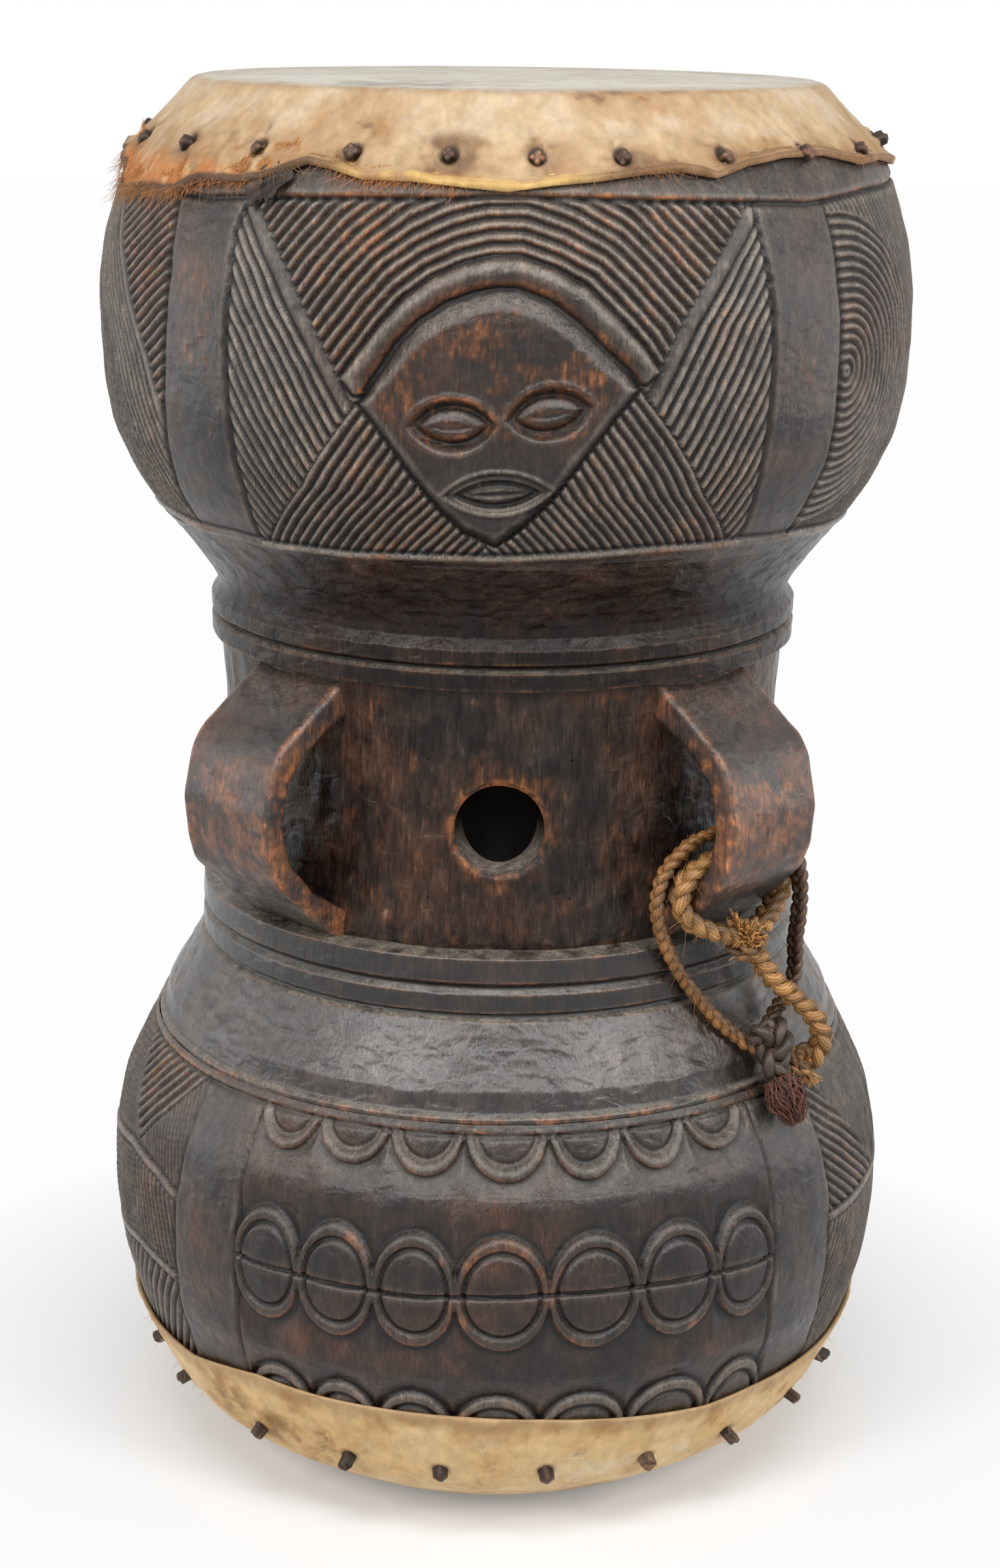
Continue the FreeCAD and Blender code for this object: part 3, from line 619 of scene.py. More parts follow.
FACE = [(-19.4, 493.4), (-17.9, 499.5), (-15.9, 507.9), (-13.8, 517.3), (-11.1, 525.6), (-7.5, 532.9),
        (-3.8, 537.1), (-1.0, 538.6), (1.8, 538.3), (5.7, 533.7), (9.2, 525.9), (12.9, 515.3), (15.8, 507.7),
        (17.8, 500.6), (14.2, 488.6), (10.8, 474.6), (6.8, 457.7), (2.9, 445.6), (-1, 436.5), (-5.7, 442.7),
        (-8.8, 451.8), (-12.4, 465.9), (-15.7, 480.2)]
# Both edges of the strip that slants up from the mask, and the border below it, on each side
LEFT_LINES = ([(-19.9, 495), (-24.7, 520.6), (-29.1, 541.9), (-34.8, 562.7)],
              [(-21.8, 492.1), (-26.9, 518.2), (-31.9, 541.0), (-37.6, 562.8)],
              [(-38.2, 432.7), (-28.5, 458.9), (-22.7, 481), (-19.6, 493)])
RIGHT_LINES = ([(18.5, 501.1), (22.8, 526.1), (28.6, 549.4), (34.6, 569.5)],
               [(20.6, 497.5), (25.0, 523.5), (30.9, 547.0), (36.8, 566.0)],
               [(35, 436.9), (28.3, 457.3), (22.7, 481.1), (18.4, 496.9)])
# Inner and outer border of the plain band on the left, then on the right
BANDS = ([(-39.8, 435), (-38.7, 455.5), (-38.7, 509), (-38.4, 535), (-38.7, 554), (-37.6, 565)],
         [(-55.6, 435.5), (-55.5, 448.5), (-54, 463), (-52.2, 494.4), (-51.3, 516), (-50.8, 537), (-51.8, 562.7)],
         [(37.6, 439.9), (36.7, 466.8), (36.8, 509), (36.3, 530.6), (35.4, 560)],
         [(49.5, 437.4), (50.3, 460), (50.5, 476), (50.3, 499), (50.2, 516.8), (49.6, 536.7), (49.8, 555),
          (49.1, 572)])
# Middle, width, height and tilt of each eye, and of the mouth from its lips inwards
EYES = (((-6.6, 487.2), 35.0, 21.8, 3.0), ((5.6, 492.4), 34.0, 21.4, 9.5))
LIPS = ((-0.9, 460.6), 45.0, 18.5, 3.4)
MOUTH = (-0.9, 460.3), ((37.5, 13.5), (31.0, 8.6), (25.0, 2.2))
RINGS_AT = (51.6, 500.9)
TRIANGLE_EDGE = [(-53.5, 485.3), (-55.7, 501.7), (-59.6, 518.7), (-63, 533.8), (-68.1, 553.9)]
STRIP_EDGE = [(-69, 435), (-66.3, 449.3), (-63.8, 467.7), (-65.3, 483.9), (-67.9, 499.5), (-74.6, 519.3)]


def top_edge(theta):
    return skin_edge(theta, TOP_EDGE, 301, 576.5)


def upper_front(x, z, wob):
    """Relief and looks of the carved front field, and where the bare forehead is."""
    arch, face = outline_side(x, z, ARCH), outline_side(x, z, FACE)
    fields = [(side, *(-side * line_side(x, z, line) for line in lines))
              for side, lines in ((-1, LEFT_LINES), (1, RIGHT_LINES))]
    brown, dust_and_sheen, gloss = (np.full_like(x, v) for v in (0.35, 1.0, 0.4))
    arcs = (arch > 0) & (fields[0][1] > 0) & (fields[1][1] > 0) & (z > 488)
    h = np.where(arcs, ridges(arch + wob, 4.45, 2.7), 0.0)
    brown = np.where(arcs, 0.42 + 0.3 * smooth(np.abs(x), 30, 60), brown)
    for side, near, far, low in fields:
        strip = (near <= 0) & (far > 0) & (z > 488)
        field = (far <= 0) & (low < 0)
        below = (low >= 0) & (face > 0) & (z < 503) & (x * side > -8)
        across = np.sin(np.pi * far / np.maximum(far - near, 0.1))
        h = choose(h, (strip, -2.0 * (1 - np.abs(across) ** 0.45)), (field, ridges(far + wob, 4.3, 2.6)),
                   (below, ridges(low + wob * 0.7, 3.9, 2.4)))
        brown = choose(brown, (field, 0.45), (below, 0.5))
    # Arch over the forehead
    ring = (arch <= 0) & (face > 0) & (z > 494)
    t = np.clip(-arch / np.maximum(face - arch, 0.1), 0, 1)
    h = np.where(ring, -2.4 + 4.9 * np.maximum(np.sin(np.pi * t ** 0.85), 0) ** 0.62, h)
    rust = smooth(t, 0.45, 0.8) * (0.9 + 0.4 * smooth(np.abs(x), 25, 55)) + 0.1
    brown, dust_and_sheen, gloss = looks(ring, (brown, dust_and_sheen, gloss), rust, 0.75 - 0.5 * smooth(t, 0.35, 0.7), 1.6)
    # Face
    m = -face
    on = m > 0
    front = -2.6 + 4.6 * smooth(m, 0, 5.5 + 3 * smooth(z, 490, 515)) ** 0.6
    front = front + 1.3 * np.exp(-((x + 3) / 34) ** 2 - ((z - 517) / 19) ** 2) - 0.8 * smooth(478 - z, 0, 20)
    grain = 0.0
    for (a, level), width, height, tilt in EYES:
        d, v = almond(x, z, (a, level), width, height, tilt)
        bean, _ = almond(x, z, (a, level - 0.2), width * 0.80, height * 0.62, tilt)
        slit, _ = almond(x, z, (a - 0.1, level - 0.6), width * 0.50, height * 0.17, tilt - 2)
        front = front + 0.75 * bell(d - 0.6, 1.3) - 4.3 * smooth(-d, -0.4, 4.2)
        front = front + 4.6 * dome(-bean / 6.2) - 1.5 * smooth(-slit, -0.5, 0.9)
        grain = grain + smooth(-slit, -0.2, 0.6) * 1.2 + 0.35 * bell(d - 0.9, 1.5)
        inside = smooth(-d, -0.8, 0.6) > 0.5
        # Paler upper part of each eye's raised bean: dust and a painted highlight
        dust_and_sheen = np.where(inside, 0.55 + 0.9 * smooth(v, 0.5, 4.0) * smooth(-bean, 0, 1.5), dust_and_sheen)
        gloss = np.where(inside, 1.5, gloss)
    lip, _ = almond(x, z, *LIPS)
    inner, bean, slit = (almond(x, z, MOUTH[0], *size, LIPS[3])[0] for size in MOUTH[1])
    front = front + 1.1 * bell(lip + 0.2, 1.0) - 1.5 * smooth(-lip, 0.4, 2.2)
    front = front + 1.3 * bell(inner, 0.9) - 2.0 * smooth(-inner, 0.4, 2.4)
    front = front + 2.6 * dome(-bean / 4.2) - 1.6 * smooth(-slit, -0.4, 0.6)
    h = np.where(on, front, h)
    forehead = smooth(m, 4, 9) * smooth(z, 470, 484) * on
    brown = np.where(on, forehead * 1.15 + grain + smooth(-slit, -0.1, 0.6), brown)
    dust_and_sheen = np.where(on, dust_and_sheen * (0.6 - 0.35 * forehead), dust_and_sheen)
    # More dust at the top of the face, near its outline: dust and a painted highlight
    dust_and_sheen = np.where(on & (z > 500), dust_and_sheen + 0.75 * (1 - smooth(m, 2, 9)), dust_and_sheen)
    gloss = np.where(on, np.maximum(gloss, 1.35), gloss)
    return h, brown, dust_and_sheen, gloss, forehead


def upper_relief(theta, z):
    """Relief and looks of the whole upper bowl at angles in degrees and heights in mm."""
    theta = turned(theta)
    p = shell(theta, z, 172.0)
    wob = waver(p, 61)
    x = theta * DEG
    h, brown, dust_and_sheen, gloss, forehead = upper_front(x, z, wob)
    borders = lb, lbb, rb, rbb = [line_side(x, z, line) for line in BANDS]
    # Plain bands beside the front field, and the ones at the back
    back = np.abs(theta) > 90
    xb = (np.abs(theta) - 180) * DEG
    band = ((lb < 0) & (lbb > 0)) | ((rb > 0) & (rbb < 0)) | (back & on_back_band(xb))
    h = np.where(band, -0.5 + 0.25 * noise(p, 30, 8), h)
    spot = bell(x + 45.2 * DEG, 13, 4) * smooth(z, 488, 505) * smooth(552 - z, 0, 16)
    spot = np.maximum(spot, 0.9 * np.exp(-((x - 43 * DEG) / 8) ** 2 - ((z - 508) / 13) ** 2))
    brown, dust_and_sheen, gloss = looks(band, (brown, dust_and_sheen, gloss), 0.12 + 1.15 * spot, 0.6 * (1 - 0.6 * spot), 1.7)
    # Right side: rings round a point on the band's edge, then steep lines
    right = (rbb >= 0) & ~back
    rx, rz = x - RINGS_AT[0] * DEG, z - RINGS_AT[1]
    d = np.hypot(rx, rz)
    steep = ridges(rx * 0.9 + rz * 0.45 * np.sign(rz) + wob, 3.6, 1.7)
    h = choose(h, (right, steep), (right & (d < 62), ridges(d + wob, 4.0, 2.1)))
    # Left side: a triangle of ridges, a broad strip and fine herringbone
    left = (lbb <= 0) & ~back
    edge, far = line_side(x, z, TRIANGLE_EDGE), line_side(x, z, STRIP_EDGE)
    zigzag = np.abs(((far / 13.0) % 2) - 1) * 13.0
    h = choose(h, (left, ridges(z * 0.8 + zigzag * 0.9 + wob, 3.3, 1.5)),
               (left & (far > 0), ridges(edge + 5.5 + wob, 4.2, 2.2)),
               (left & (far > 0) & (edge > -5.5), -2.2 * np.abs((edge + 2.75) / 2.75) ** 5),
               (left & (edge > 0), ridges((x + 53 * DEG) * 0.55 - (z - 500) * 0.83 + wob, 4.2, 2.2)))
    brown = choose(brown, (right, 0.4), (left, 0.45))
    # Back: nested lozenges
    mid = back & ~band
    inner = mid & (np.abs(xb) < 115)
    loz, loz2 = ((v / 74.5 + np.abs(z - 499.6) / 62.2) * 47.8 for v in (np.abs(xb), np.abs(np.abs(xb) - 112)))
    h = choose(h, (mid, ridges(np.abs(xb) * 0.6 + (z - 500) * 0.8 * np.sign(xb) + wob, 4.0, 1.9)),
               (inner, ridges(loz2 + wob, 4.2, 2.2)), (inner & (loz < 51), -2.2 * np.abs((loz - 47.8) / 3.3) ** 5),
               (inner & (loz < 44.5), ridges(loz + 1.5 + wob, 4.6, 2.3)))
    for border in borders:
        h = np.where(~back, cut_line(h, border, 1.5, 1.3), h)
    for at in (-52, -38.5):
        h = np.where(back, cut_line(h, xb - at * DEG, 1.4, 1.2), h)
    # Lip under the skin and the line where the carving stops
    quarter = np.abs((theta + 45) % 90 - 45)
    top = 570.5 - 4.5 * (quarter / 45) ** 2 + 0.8 * noise(p, 25, 71)
    lip = smooth(z - top, -0.6, 0.8)
    plain = 0.5 * np.sin(np.pi * np.clip((z - top) / 9, 0, 1)) + 0.2 * noise(p, 12, 72)
    h = h * (1 - lip) + plain * lip - 1.6 * bell(z - top, 1.1)
    foot = 434 + 1.5 * noise(p, 30, 73) + 2.0 * np.sin(np.radians(theta) * 3)
    under = 1 - smooth(z - foot, -1.5, 0.6)
    h = h * (1 - under) + (-0.2) * under - 0.9 * bell(z - foot, 1.0) + 0.9 * bell(z - foot + 2.6, 1.3)
    brown = brown * (1 - under) + under * (0.3 + 1.2 * bell(z - foot + 2.4, 1.6)) + 0.5 * lip
    gloss = np.where(under > 0.5, 1.5, gloss)
    h = tool_marks(h, p, 81, 0.30, 0.14, 0.07)
    # The log keeps clear of the skin that covers it
    h = h - 2.4 * smooth(z - top_edge(theta), 2.5, 7.0)
    return h, (brown, dust_and_sheen, gloss), forehead, band


bowl("upper_bowl", 352, (427.0, 590.0), 257, UPPER, upper_relief)


# Lower bowl
LOWER = ([0, 8, 16, 28, 45, 65, 90, 115, 140, 165, 185, 197.5, 210],
         [119, 136, 143, 148, 158.0, 166.0, 173.4, 176.2, 175.7, 170.6, 161.2, 154.0, 146.5])
# Angles where the scallops, the ovals and the arches meet
CUSPS = [-38.3, -27.6, -16.0, -4.6, 8.0, 19.3, 29.8, 41.0]
OVALS = [-38.5, -27.7, -16.6, -5.2, 7.5, 20.2, 32.1, 42.6]
ARCHES = [-38, -27.2, -16.9, -5.7, 6.8, 19.8, 33.2, 44]
SCALLOP_Z, OVAL_Z, ARCH_Z = 196, 129.8, 60.5
FIELD_EDGES = (-38.4, 42.8, -51.6, 56.0)
SHOULDER_Z, RIGHT_LINE_Z = 192.6, 131.5
LEFT_TRIANGLE = [(-65.3, 153.5), (-52.2, 192.0)], [(-65.4, 153.0), (-78.0, 193.0)]
RIGHT_SAW = [(77, 131), (69.3, 154.0), (62.2, 177.0), (58.8, 190)]


def row_of(theta, end_dust_and_sheen, squeeze):
    """The cells of a band: first angle, half width in mm, and each point's place across in mm."""
    for a, b in zip(end_dust_and_sheen, end_dust_and_sheen[1:]):
        yield a, (b - a) / 2 * squeeze, (theta - (a + b) / 2) * squeeze


def bead(d, middle, half):
    return dome(1 - ((d - middle) / half) ** 2)


def lower_relief(theta, z):
    """Relief and looks of the whole lower bowl."""
    theta = turned(theta)
    p = shell(theta, z, 174.0)
    wob = waver(p, 161)
    back = np.abs(theta) > 90
    x = theta * DEG
    h = 0.25 * noise(p, 30, 163)
    brown, dust_and_sheen, gloss = (np.full_like(x, v) for v in (0.22, 0.5, 1.5))
    # Hanging scallops
    for a, half, u in row_of(theta, CUSPS, 2.86):
        e = np.hypot(u / half, (SCALLOP_Z - z) / (18.5 + 1.5 * np.sin(a)))
        d = (1 - e) * (17.5 + 8 * (u / half) ** 2) * np.where(z < SCALLOP_Z, 1, 0)
        cell = (np.abs(u) <= half + 0.01) & (z < SCALLOP_Z + 0.5)
        leaf = -1.7 + 3.0 * bead(d, 2.2, 2.7) + 1.5 * smooth(d, 5.2, 8.0) ** 0.7 + 1.7 * smooth(d, 6.0, 16)
        h = choose(h, (cell, -2.2 * bell(np.minimum(d, 0), 6.5)), (cell & (d > -0.6), leaf))
        # Dust in the groove inside each rim, and paler dust with painted sheen in the hollow under the rim
        scallop_dust_and_sheen = choose(0.5 + 0.3 * bell(d + 3, 4.0), (d > -0.4, 0.42), (d > 4.2, 1.0), (d > 6.0, 0.3))
        brown, dust_and_sheen, gloss = looks(cell, (brown, dust_and_sheen, gloss), 0.25, scallop_dust_and_sheen, 1.7)
    # Ovals split by one line
    spot = smooth(noise(p * (1, 1, 0.5), 6.5, 171) + 0.6 * noise(p, 2.2, 172), 0.25, 1.0)
    low = smooth(OVAL_Z - 14 - z, 0, 10)
    v = np.abs(z - OVAL_Z)
    for _, half, u in row_of(theta, OVALS, 3.04):
        w = u / half
        e = np.hypot(u / (half + 0.3), (z - OVAL_Z) / 24.6)
        d = (1 - e) * (20 + 9 * np.minimum(np.abs(w), 1) ** 2)
        cell = (np.abs(u) <= half) & (v < 40)
        ring = -1.9 + 2.9 * bead(d, 2.1, 2.6) + 2.4 * smooth(d, 4.6, 7.2) ** 0.6 + 0.7 * smooth(d, 7, 15)
        gouge = -2.4 * bell(np.minimum(d, 0), 10.0) * smooth(40 - v, 0, 14)
        h = choose(h, (cell, gouge), (cell & (d > -0.6), ring))
        bare = 0.35 + 1.2 * np.exp(-(w + 0.92) ** 2 * 14) * low + 1.2 * np.exp(-(w - 0.92) ** 2 * 14) * low
        worn = 0.35 + 1.5 * spot * smooth(d, 5, 9) * smooth(16 - v, 0, 8)
        brown, dust_and_sheen, gloss = looks(cell, (brown, dust_and_sheen, gloss), choose(bare, (d > -0.6, 0.55), (d > 4, worn)), 0.16, 1.45)
    split = 129.6 + 0.9 * np.sin(np.radians(theta * 6)) + 0.4 * noise(p, 15, 173)
    h = np.where((theta > OVALS[0]) & (theta < OVALS[-1]), cut_line(h, z - split, 2.8, 0.95), h)
    # Arches that stand on the skin's edge
    for _, half, u in row_of(theta, ARCHES, 2.95):
        e = np.hypot(u / half, (z - ARCH_Z) / 20.5)
        d = (1 - e) * (17 + 8 * np.minimum(np.abs(u / half), 1) ** 2)
        cell = (np.abs(u) <= half) & (z < 90)
        leaf = -1.7 + 2.7 * bead(d, 2.1, 2.6) + 2.3 * smooth(d, 4.6, 7.4) ** 0.6
        h = choose(h, (cell, h - 1.9 * bell(d, 5.5)), (cell & (d > -0.6), leaf))
    # Side fields
    left = (theta < FIELD_EDGES[2]) & ~back
    right = (theta > FIELD_EDGES[3]) & ~back
    s = np.abs(theta)
    tri, tri_far = (line_side(x, z, line) for line in LEFT_TRIANGLE)
    b1 = 141.2 + np.interp(s, [51, 58, 68, 82, 100, 130], [0, 6, 8.5, 2, -6, -2])
    b2 = 102.9 + np.interp(s, [50, 57, 64, 78, 100, 130], [0, 3, 4.6, -3, -8, -4])
    on_left = choose(ridges(x * 0.93 + z * 0.30 + wob, 2.7, 1.2),
                     ((z > b1) & (tri < 0) & (tri_far > 0), ridges(tri + wob, 5.0, 2.7)),
                     ((z <= b1) & (z > b2), ridges(x * 0.95 + z * 0.30 + wob, 3.7, 1.9)),
                     (z <= b2, ridges(x * 0.85 - z * 0.5 + wob, 5.2, 2.4)))
    on_right = choose(ridges(x * 0.98 + wob, 2.8, 1.2),
                      (line_side(x, z, RIGHT_SAW) < 0, ridges(x * 0.58 + z * 0.81 + wob, 4.3, 2.3)),
                      (z <= RIGHT_LINE_Z, ridges(x * 0.84 - z * 0.54 + wob, 3.7, 1.9)))
    h = choose(h, (right, on_right), (left, on_left))
    for line, where in ((b1, left), (b2, left), (RIGHT_LINE_Z, right)):
        away = np.abs(z - line)
        off = smooth(away, 1.2, 2.4)
        h = np.where(where, h * off + (1 - off) * 0.3 - 1.2 * bell(away - 2.4, 0.6), h)
    # Back: nested lozenges
    xb = (s - 180) * DEG
    mid = back & ~on_back_band(xb)
    loz, loz2 = (v * 0.7 + np.abs(z - 130) * 0.95 for v in (np.abs(xb), np.abs(np.abs(xb) - 112)))
    h = choose(h, (mid, ridges(np.abs(xb) * 0.95 + z * 0.25 + wob, 3.9, 1.8)),
               (mid & (np.abs(xb) < 115), ridges(np.where(loz < 62, loz, loz2) + wob, 4.4, 1.9)))
    fields = left | right | mid
    brown, dust_and_sheen, gloss = looks(fields, (brown, dust_and_sheen, gloss), 0.4, 0.8, 0.4)
    drift = noise(p, 24, 174) * 0.4
    for at in FIELD_EDGES:
        h = np.where(~back, cut_line(h, (theta + drift - at) * DEG, 0.9, 0.8), h)
    # Plain bands between the fields, worn in two places
    band = ~((theta > -38.5) & (theta < 42.9)) & ~fields
    patch = bell(x + 46.5 * DEG, 11) * smooth(z, 70, 95) * smooth(150 - z, 0, 20)
    patch = patch + bell(x - 50 * DEG, 14) * smooth(z, 90, 105) * smooth(140 - z, 0, 20) * 0.7
    brown, dust_and_sheen, gloss = looks(band, (brown, dust_and_sheen, gloss), 0.15 + 0.8 * patch, 0.5, 1.6)
    # Ridge line at the shoulder, and the foot under the skin
    top = smooth(z, SHOULDER_Z - 0.1, 194.0)
    h = h * (1 - top) + top * 0.6 - 1.3 * bell(z - SHOULDER_Z, 0.9)
    h = tool_marks(h, p, 181, 0.28, 0.13, 0.06)
    foot = smooth(z, 50, 62)
    h = np.where(z < 62, np.minimum(h, 0) * foot - 1.2 * (1 - foot), h)
    return h, (brown + top * 0.6, dust_and_sheen, gloss), np.zeros_like(x), band


bowl("lower_bowl", 380, (50.0, 197.0), 225, LOWER, lower_relief)


# Turned parts
def lathe(name, outline, relief, tone, material=wood_plain, spacing=0.62, cols=560):
    """Piece swept round the axis by an outline of (radius, height) points in mm, with relief along its normal."""
    pts = np.array(outline, float)
    run = run_of(pts)
    count = int(run[-1] / spacing) + 1
    s = np.linspace(0, run[-1], count)
    r, z = at_runs(s, run, pts).T
    nr, nz = np.gradient(z), -np.gradient(r)
    size = np.hypot(nr, nz)
    theta, row = np.meshgrid(np.linspace(0, 360, cols, endpoint=False), np.arange(count))
    R, Z, NR, NZ = r[row], z[row], (nr / size)[row], (nz / size)[row]
    h = relief(shell(theta, Z, R))
    soft_r, soft_z = (blur(a, max(2, int(2.2 / spacing))) for a in (R, Z))
    own = (R - soft_r) * NR + (Z - soft_z) * NZ
    q = shell(theta, Z + NZ * h, R + NR * h)
    return log_piece(name, q, tone(q, h + 1.6 * own, theta, NZ, spacing, own), material, wrap=True)


def rounded(points, radius=0.55, steps=3):
    """Outline with its corners eased."""
    out = [points[0]]
    for a, b, c in zip(points, points[1:], points[2:]):
        a, b, c = np.array(a, float), np.array(b, float), np.array(c, float)
        la, lc = np.linalg.norm(a - b), np.linalg.norm(c - b)
        t = min(radius, la * 0.45, lc * 0.45)
        p0, p1 = b + (a - b) / la * t, b + (c - b) / lc * t
        for k in range(steps + 1):
            f = k / steps
            out.append(tuple((1 - f) ** 2 * p0 + 2 * f * (1 - f) * b + f * f * p1))
    return out + [points[-1]]


def hewn_relief(p):
    z = p[..., 2]
    smoothed = smooth(z, 199, 214) * smooth(238 - z, 0, 14) + smooth(z, 397, 408) * smooth(430 - z, 0, 8)
    cuts = facets(p * (0.8, 0.8, 1.7), 13, 5)
    return (0.1 - 0.55 * (1 - smooth(cuts, 0.1, 1.15))) * smoothed + 0.3 * noise(p, 24, 6) + 0.1 * noise(p, 5, 7) - 0.15


def plain_tone(q, h, theta, nz, step, own=0.0):
    """Tone of the plain turned parts. nz is how far they face up, own how sharp their edges are."""
    z = q[..., 2]
    tone = wood_tone(q, h, step, 0.42, 0.5, 1.6, 4, True, lean=nz)
    mid, fine = clouds(q, 7, 12), clouds(q * (1, 1, 0.3), 2.2, 14)
    ledge = smooth(nz, 0.5, 0.95) * smooth(mid + 0.7, 0, 0.8)
    paint(tone, DUST_AND_SHEEN * (1.35, 1.4, 1.35), 0.8 * ledge)
    paint(tone, GROOVE, smooth(-own, 0.12, 0.5) + 0 * z)
    paint(tone, ORANGE * 0.75, smooth(own, 0.12, 0.35) * smooth(mid + 0.5 * fine, -0.15, 0.6) * 0.7)
    tone[..., 3] += 0.2 * ledge
    # The collars and the hollow over them stay nearly black: dark patina, with painted shade
    dim = smooth(z, 234, 240) * smooth(264 - z, 0, 3) * 0.45 + smooth(z, 370, 374) * smooth(427 - z, 0, 12) * 0.55
    tone[..., :3] *= (1 - dim * (1 - 0.8 * ledge))[..., None]
    # Two rubbed, glossier patches on the front of the shoulder, painted paler as a highlight where the lamps above
    # reflect
    rubbed_and_highlit = bell(turned(theta) + 17, 10, 4) + bell(turned(theta) - 21, 9, 4)
    rubbed_and_highlit = rubbed_and_highlit * smooth(z, 199, 216) * smooth(240 - z, 0, 16) * smooth(mid + 1.1, 0, 1)
    paint(tone, DUST_AND_SHEEN * (0.95, 1.0, 1.08), rubbed_and_highlit * (0.34 + 0.2 * fine))
    tone[..., 3] = tone[..., 3] * (1 - 0.3 * rubbed_and_highlit)
    return tone


SHOULDER = [(153.2, 195.6), (154.8, 196.8), (154.6, 199.0), (152.2, 200.6), (150, 209), (142.6, 221), (135.0, 234.2),
            (132.4, 235.6), (132.2, 236.9), (134.2, 237.6), (134.0, 245.6), (131.4, 248.2), (134.0, 250.8),
            (133.6, 261.2), (123, 262.4)]
SEAT = [(122.5, 372.2), (128.4, 372.9), (128.6, 380.4), (126.2, 382.3), (128.6, 384.2), (128.6, 389.9),
        (127.6, 391.2), (125.6, 394.6), (126.2, 398.4), (129.4, 404), (134.6, 411.2), (141.4, 420), (149.4, 429.2)]
lathe("shoulder", rounded(SHOULDER), hewn_relief, plain_tone)
lathe("seat", rounded(SEAT), hewn_relief, plain_tone, wood_dull)

# Neck with its sound hole
NECK = ([255, 262, 285, 320, 350, 373, 380], [124.6, 124.3, 122.6, 121.6, 122.4, 124.2, 124.6])
NECK_DEG = 2.13  # millimetres round the neck for each degree
HOLE_Z, HOLE_R = 312.8, 19.0
PATCH_HALF, PATCH_CELLS = 30.0, 45  # square left open in the neck for the sound hole's own piece
HOLE_POINTS = 180


def neck_surface(theta, z):
    p = shell(theta, z, 123.0)
    cuts = facets(p * (1, 1, 0.45), 15, 25)
    h = -0.9 * (1 - cuts) + 0.3 * noise(p, 20, 26) + 0.12 * noise(p * (1, 1, 0.3), 4, 27)
    away = np.hypot(theta * NECK_DEG, z - HOLE_Z)
    h = h - 1.3 * smooth(HOLE_R + 3.2 - away, 0, 3.2) ** 2
    return shell(theta, z, table(z, *NECK, 6) + h), h, away


def neck_colour(p, h, away):
    tone = plain_tone(p, h, 0, np.zeros_like(h), 1.4)
    mid, fine, big = clouds(p, 9, 91), clouds(p * (1, 1, 0.25), 1.9, 92), clouds(p, 30, 93)
    rust = smooth(mid + 0.6 * fine + 0.5 * big, 0.1, 1.0) * 0.75
    rust = rust + 0.9 * bell(away - HOLE_R, 9) * smooth(mid + 0.6 * fine, -0.5, 0.5)
    paint(tone, mix(BROWN, ORANGE * 0.8, smooth(fine + 0.6 * mid, 0.3, 1.2)), rust * 0.62)
    low = smooth(300 - p[..., 2], 0, 34)
    paint(tone, PALE * 0.75, smooth(fine + 0.4 * mid, 0.62, 1.1) * (0.25 + 0.5 * low))
    return tone


def neck():
    low, high = HOLE_Z - PATCH_HALF, HOLE_Z + PATCH_HALF
    deg = PATCH_HALF / NECK_DEG
    zs = np.concatenate([np.linspace(258, low, 20)[:-1], np.linspace(low, high, PATCH_CELLS + 1),
                         np.linspace(high, 376, 26)[1:]])
    ts = np.concatenate([np.linspace(-deg, deg, PATCH_CELLS + 1)[:-1], np.linspace(deg, 360 - deg, 520)[:-1]])
    theta, z = np.meshgrid(ts, zs)
    p, h, away = neck_surface(turned(theta), z)
    keep = np.ones((len(zs) - 1, len(ts)), bool)
    keep[19:19 + PATCH_CELLS, :PATCH_CELLS] = False
    log_piece("neck", p, neck_colour(p, h, away), wood_dull, wrap=True, keep=keep)


def sound_hole():
    """Ring of wood round the hole, and the hole's wall."""
    around = np.linspace(0, 2 * np.pi, HOLE_POINTS, endpoint=False)
    c, s = np.cos(around), np.sin(around)
    reach = PATCH_HALF / np.maximum(np.abs(c), np.abs(s))
    t = (np.linspace(1, 0, 22) ** 1.3)[:, None]
    far = HOLE_R * (1 - t) + reach * t
    p, h, away = neck_surface(c * far / NECK_DEG, HOLE_Z + s * far)
    depths = (0.6, 1.6, 3.2, 6, 10, 15, 20)
    deep = len(depths)
    a = np.radians(c * far[-1] / NECK_DEG)
    way = np.stack([-np.sin(a), np.cos(a), 0 * a], -1)
    p = np.concatenate([p, [p[-1] + way * depth for depth in depths]])
    h = np.concatenate([h, np.repeat(h[-1:], deep, 0)])
    wall = np.full((deep, HOLE_POINTS), HOLE_R)
    tone = neck_colour(p, h, np.concatenate([away, wall]))
    worn = np.array([0.8, 0.3, 0.0, 0, 0, 0, 0])[:, None] * np.ones(wall.shape)
    edge = np.concatenate([bell(away - HOLE_R - 1.0, 1.6), worn])
    paint(tone, ORANGE * 0.8, edge * smooth(clouds(p, 5, 33) + 0.35, 0, 0.8))
    # Painted light, in dust grey, on the lower part of the wall, which faces up, and painted shade that deepens into
    # the hole
    lit = smooth(-s, -0.2, 0.75)[None, :, None]
    shade = np.array([0.9, 0.5, 0.3, 0.2, 0.12, 0.1, 0.1])[:, None, None]
    tone[-deep:, :, :3] = tone[-deep:, :, :3] * shade * (1 - lit) + DUST_AND_SHEEN * 1.5 * lit
    log_piece("sound_hole", p, tone, wood_dull, wrap=True)


neck()
sound_hole()

# Inside of the log, as (radius, height)
INSIDE = [(20, 0.5), (21, 100), (60, 118), (110, 150), (160, 150), (236, 112), (300, 102), (350, 102), (400, 112),
          (480, 148), (540, 148), (595, 118), (600, 0.5)]


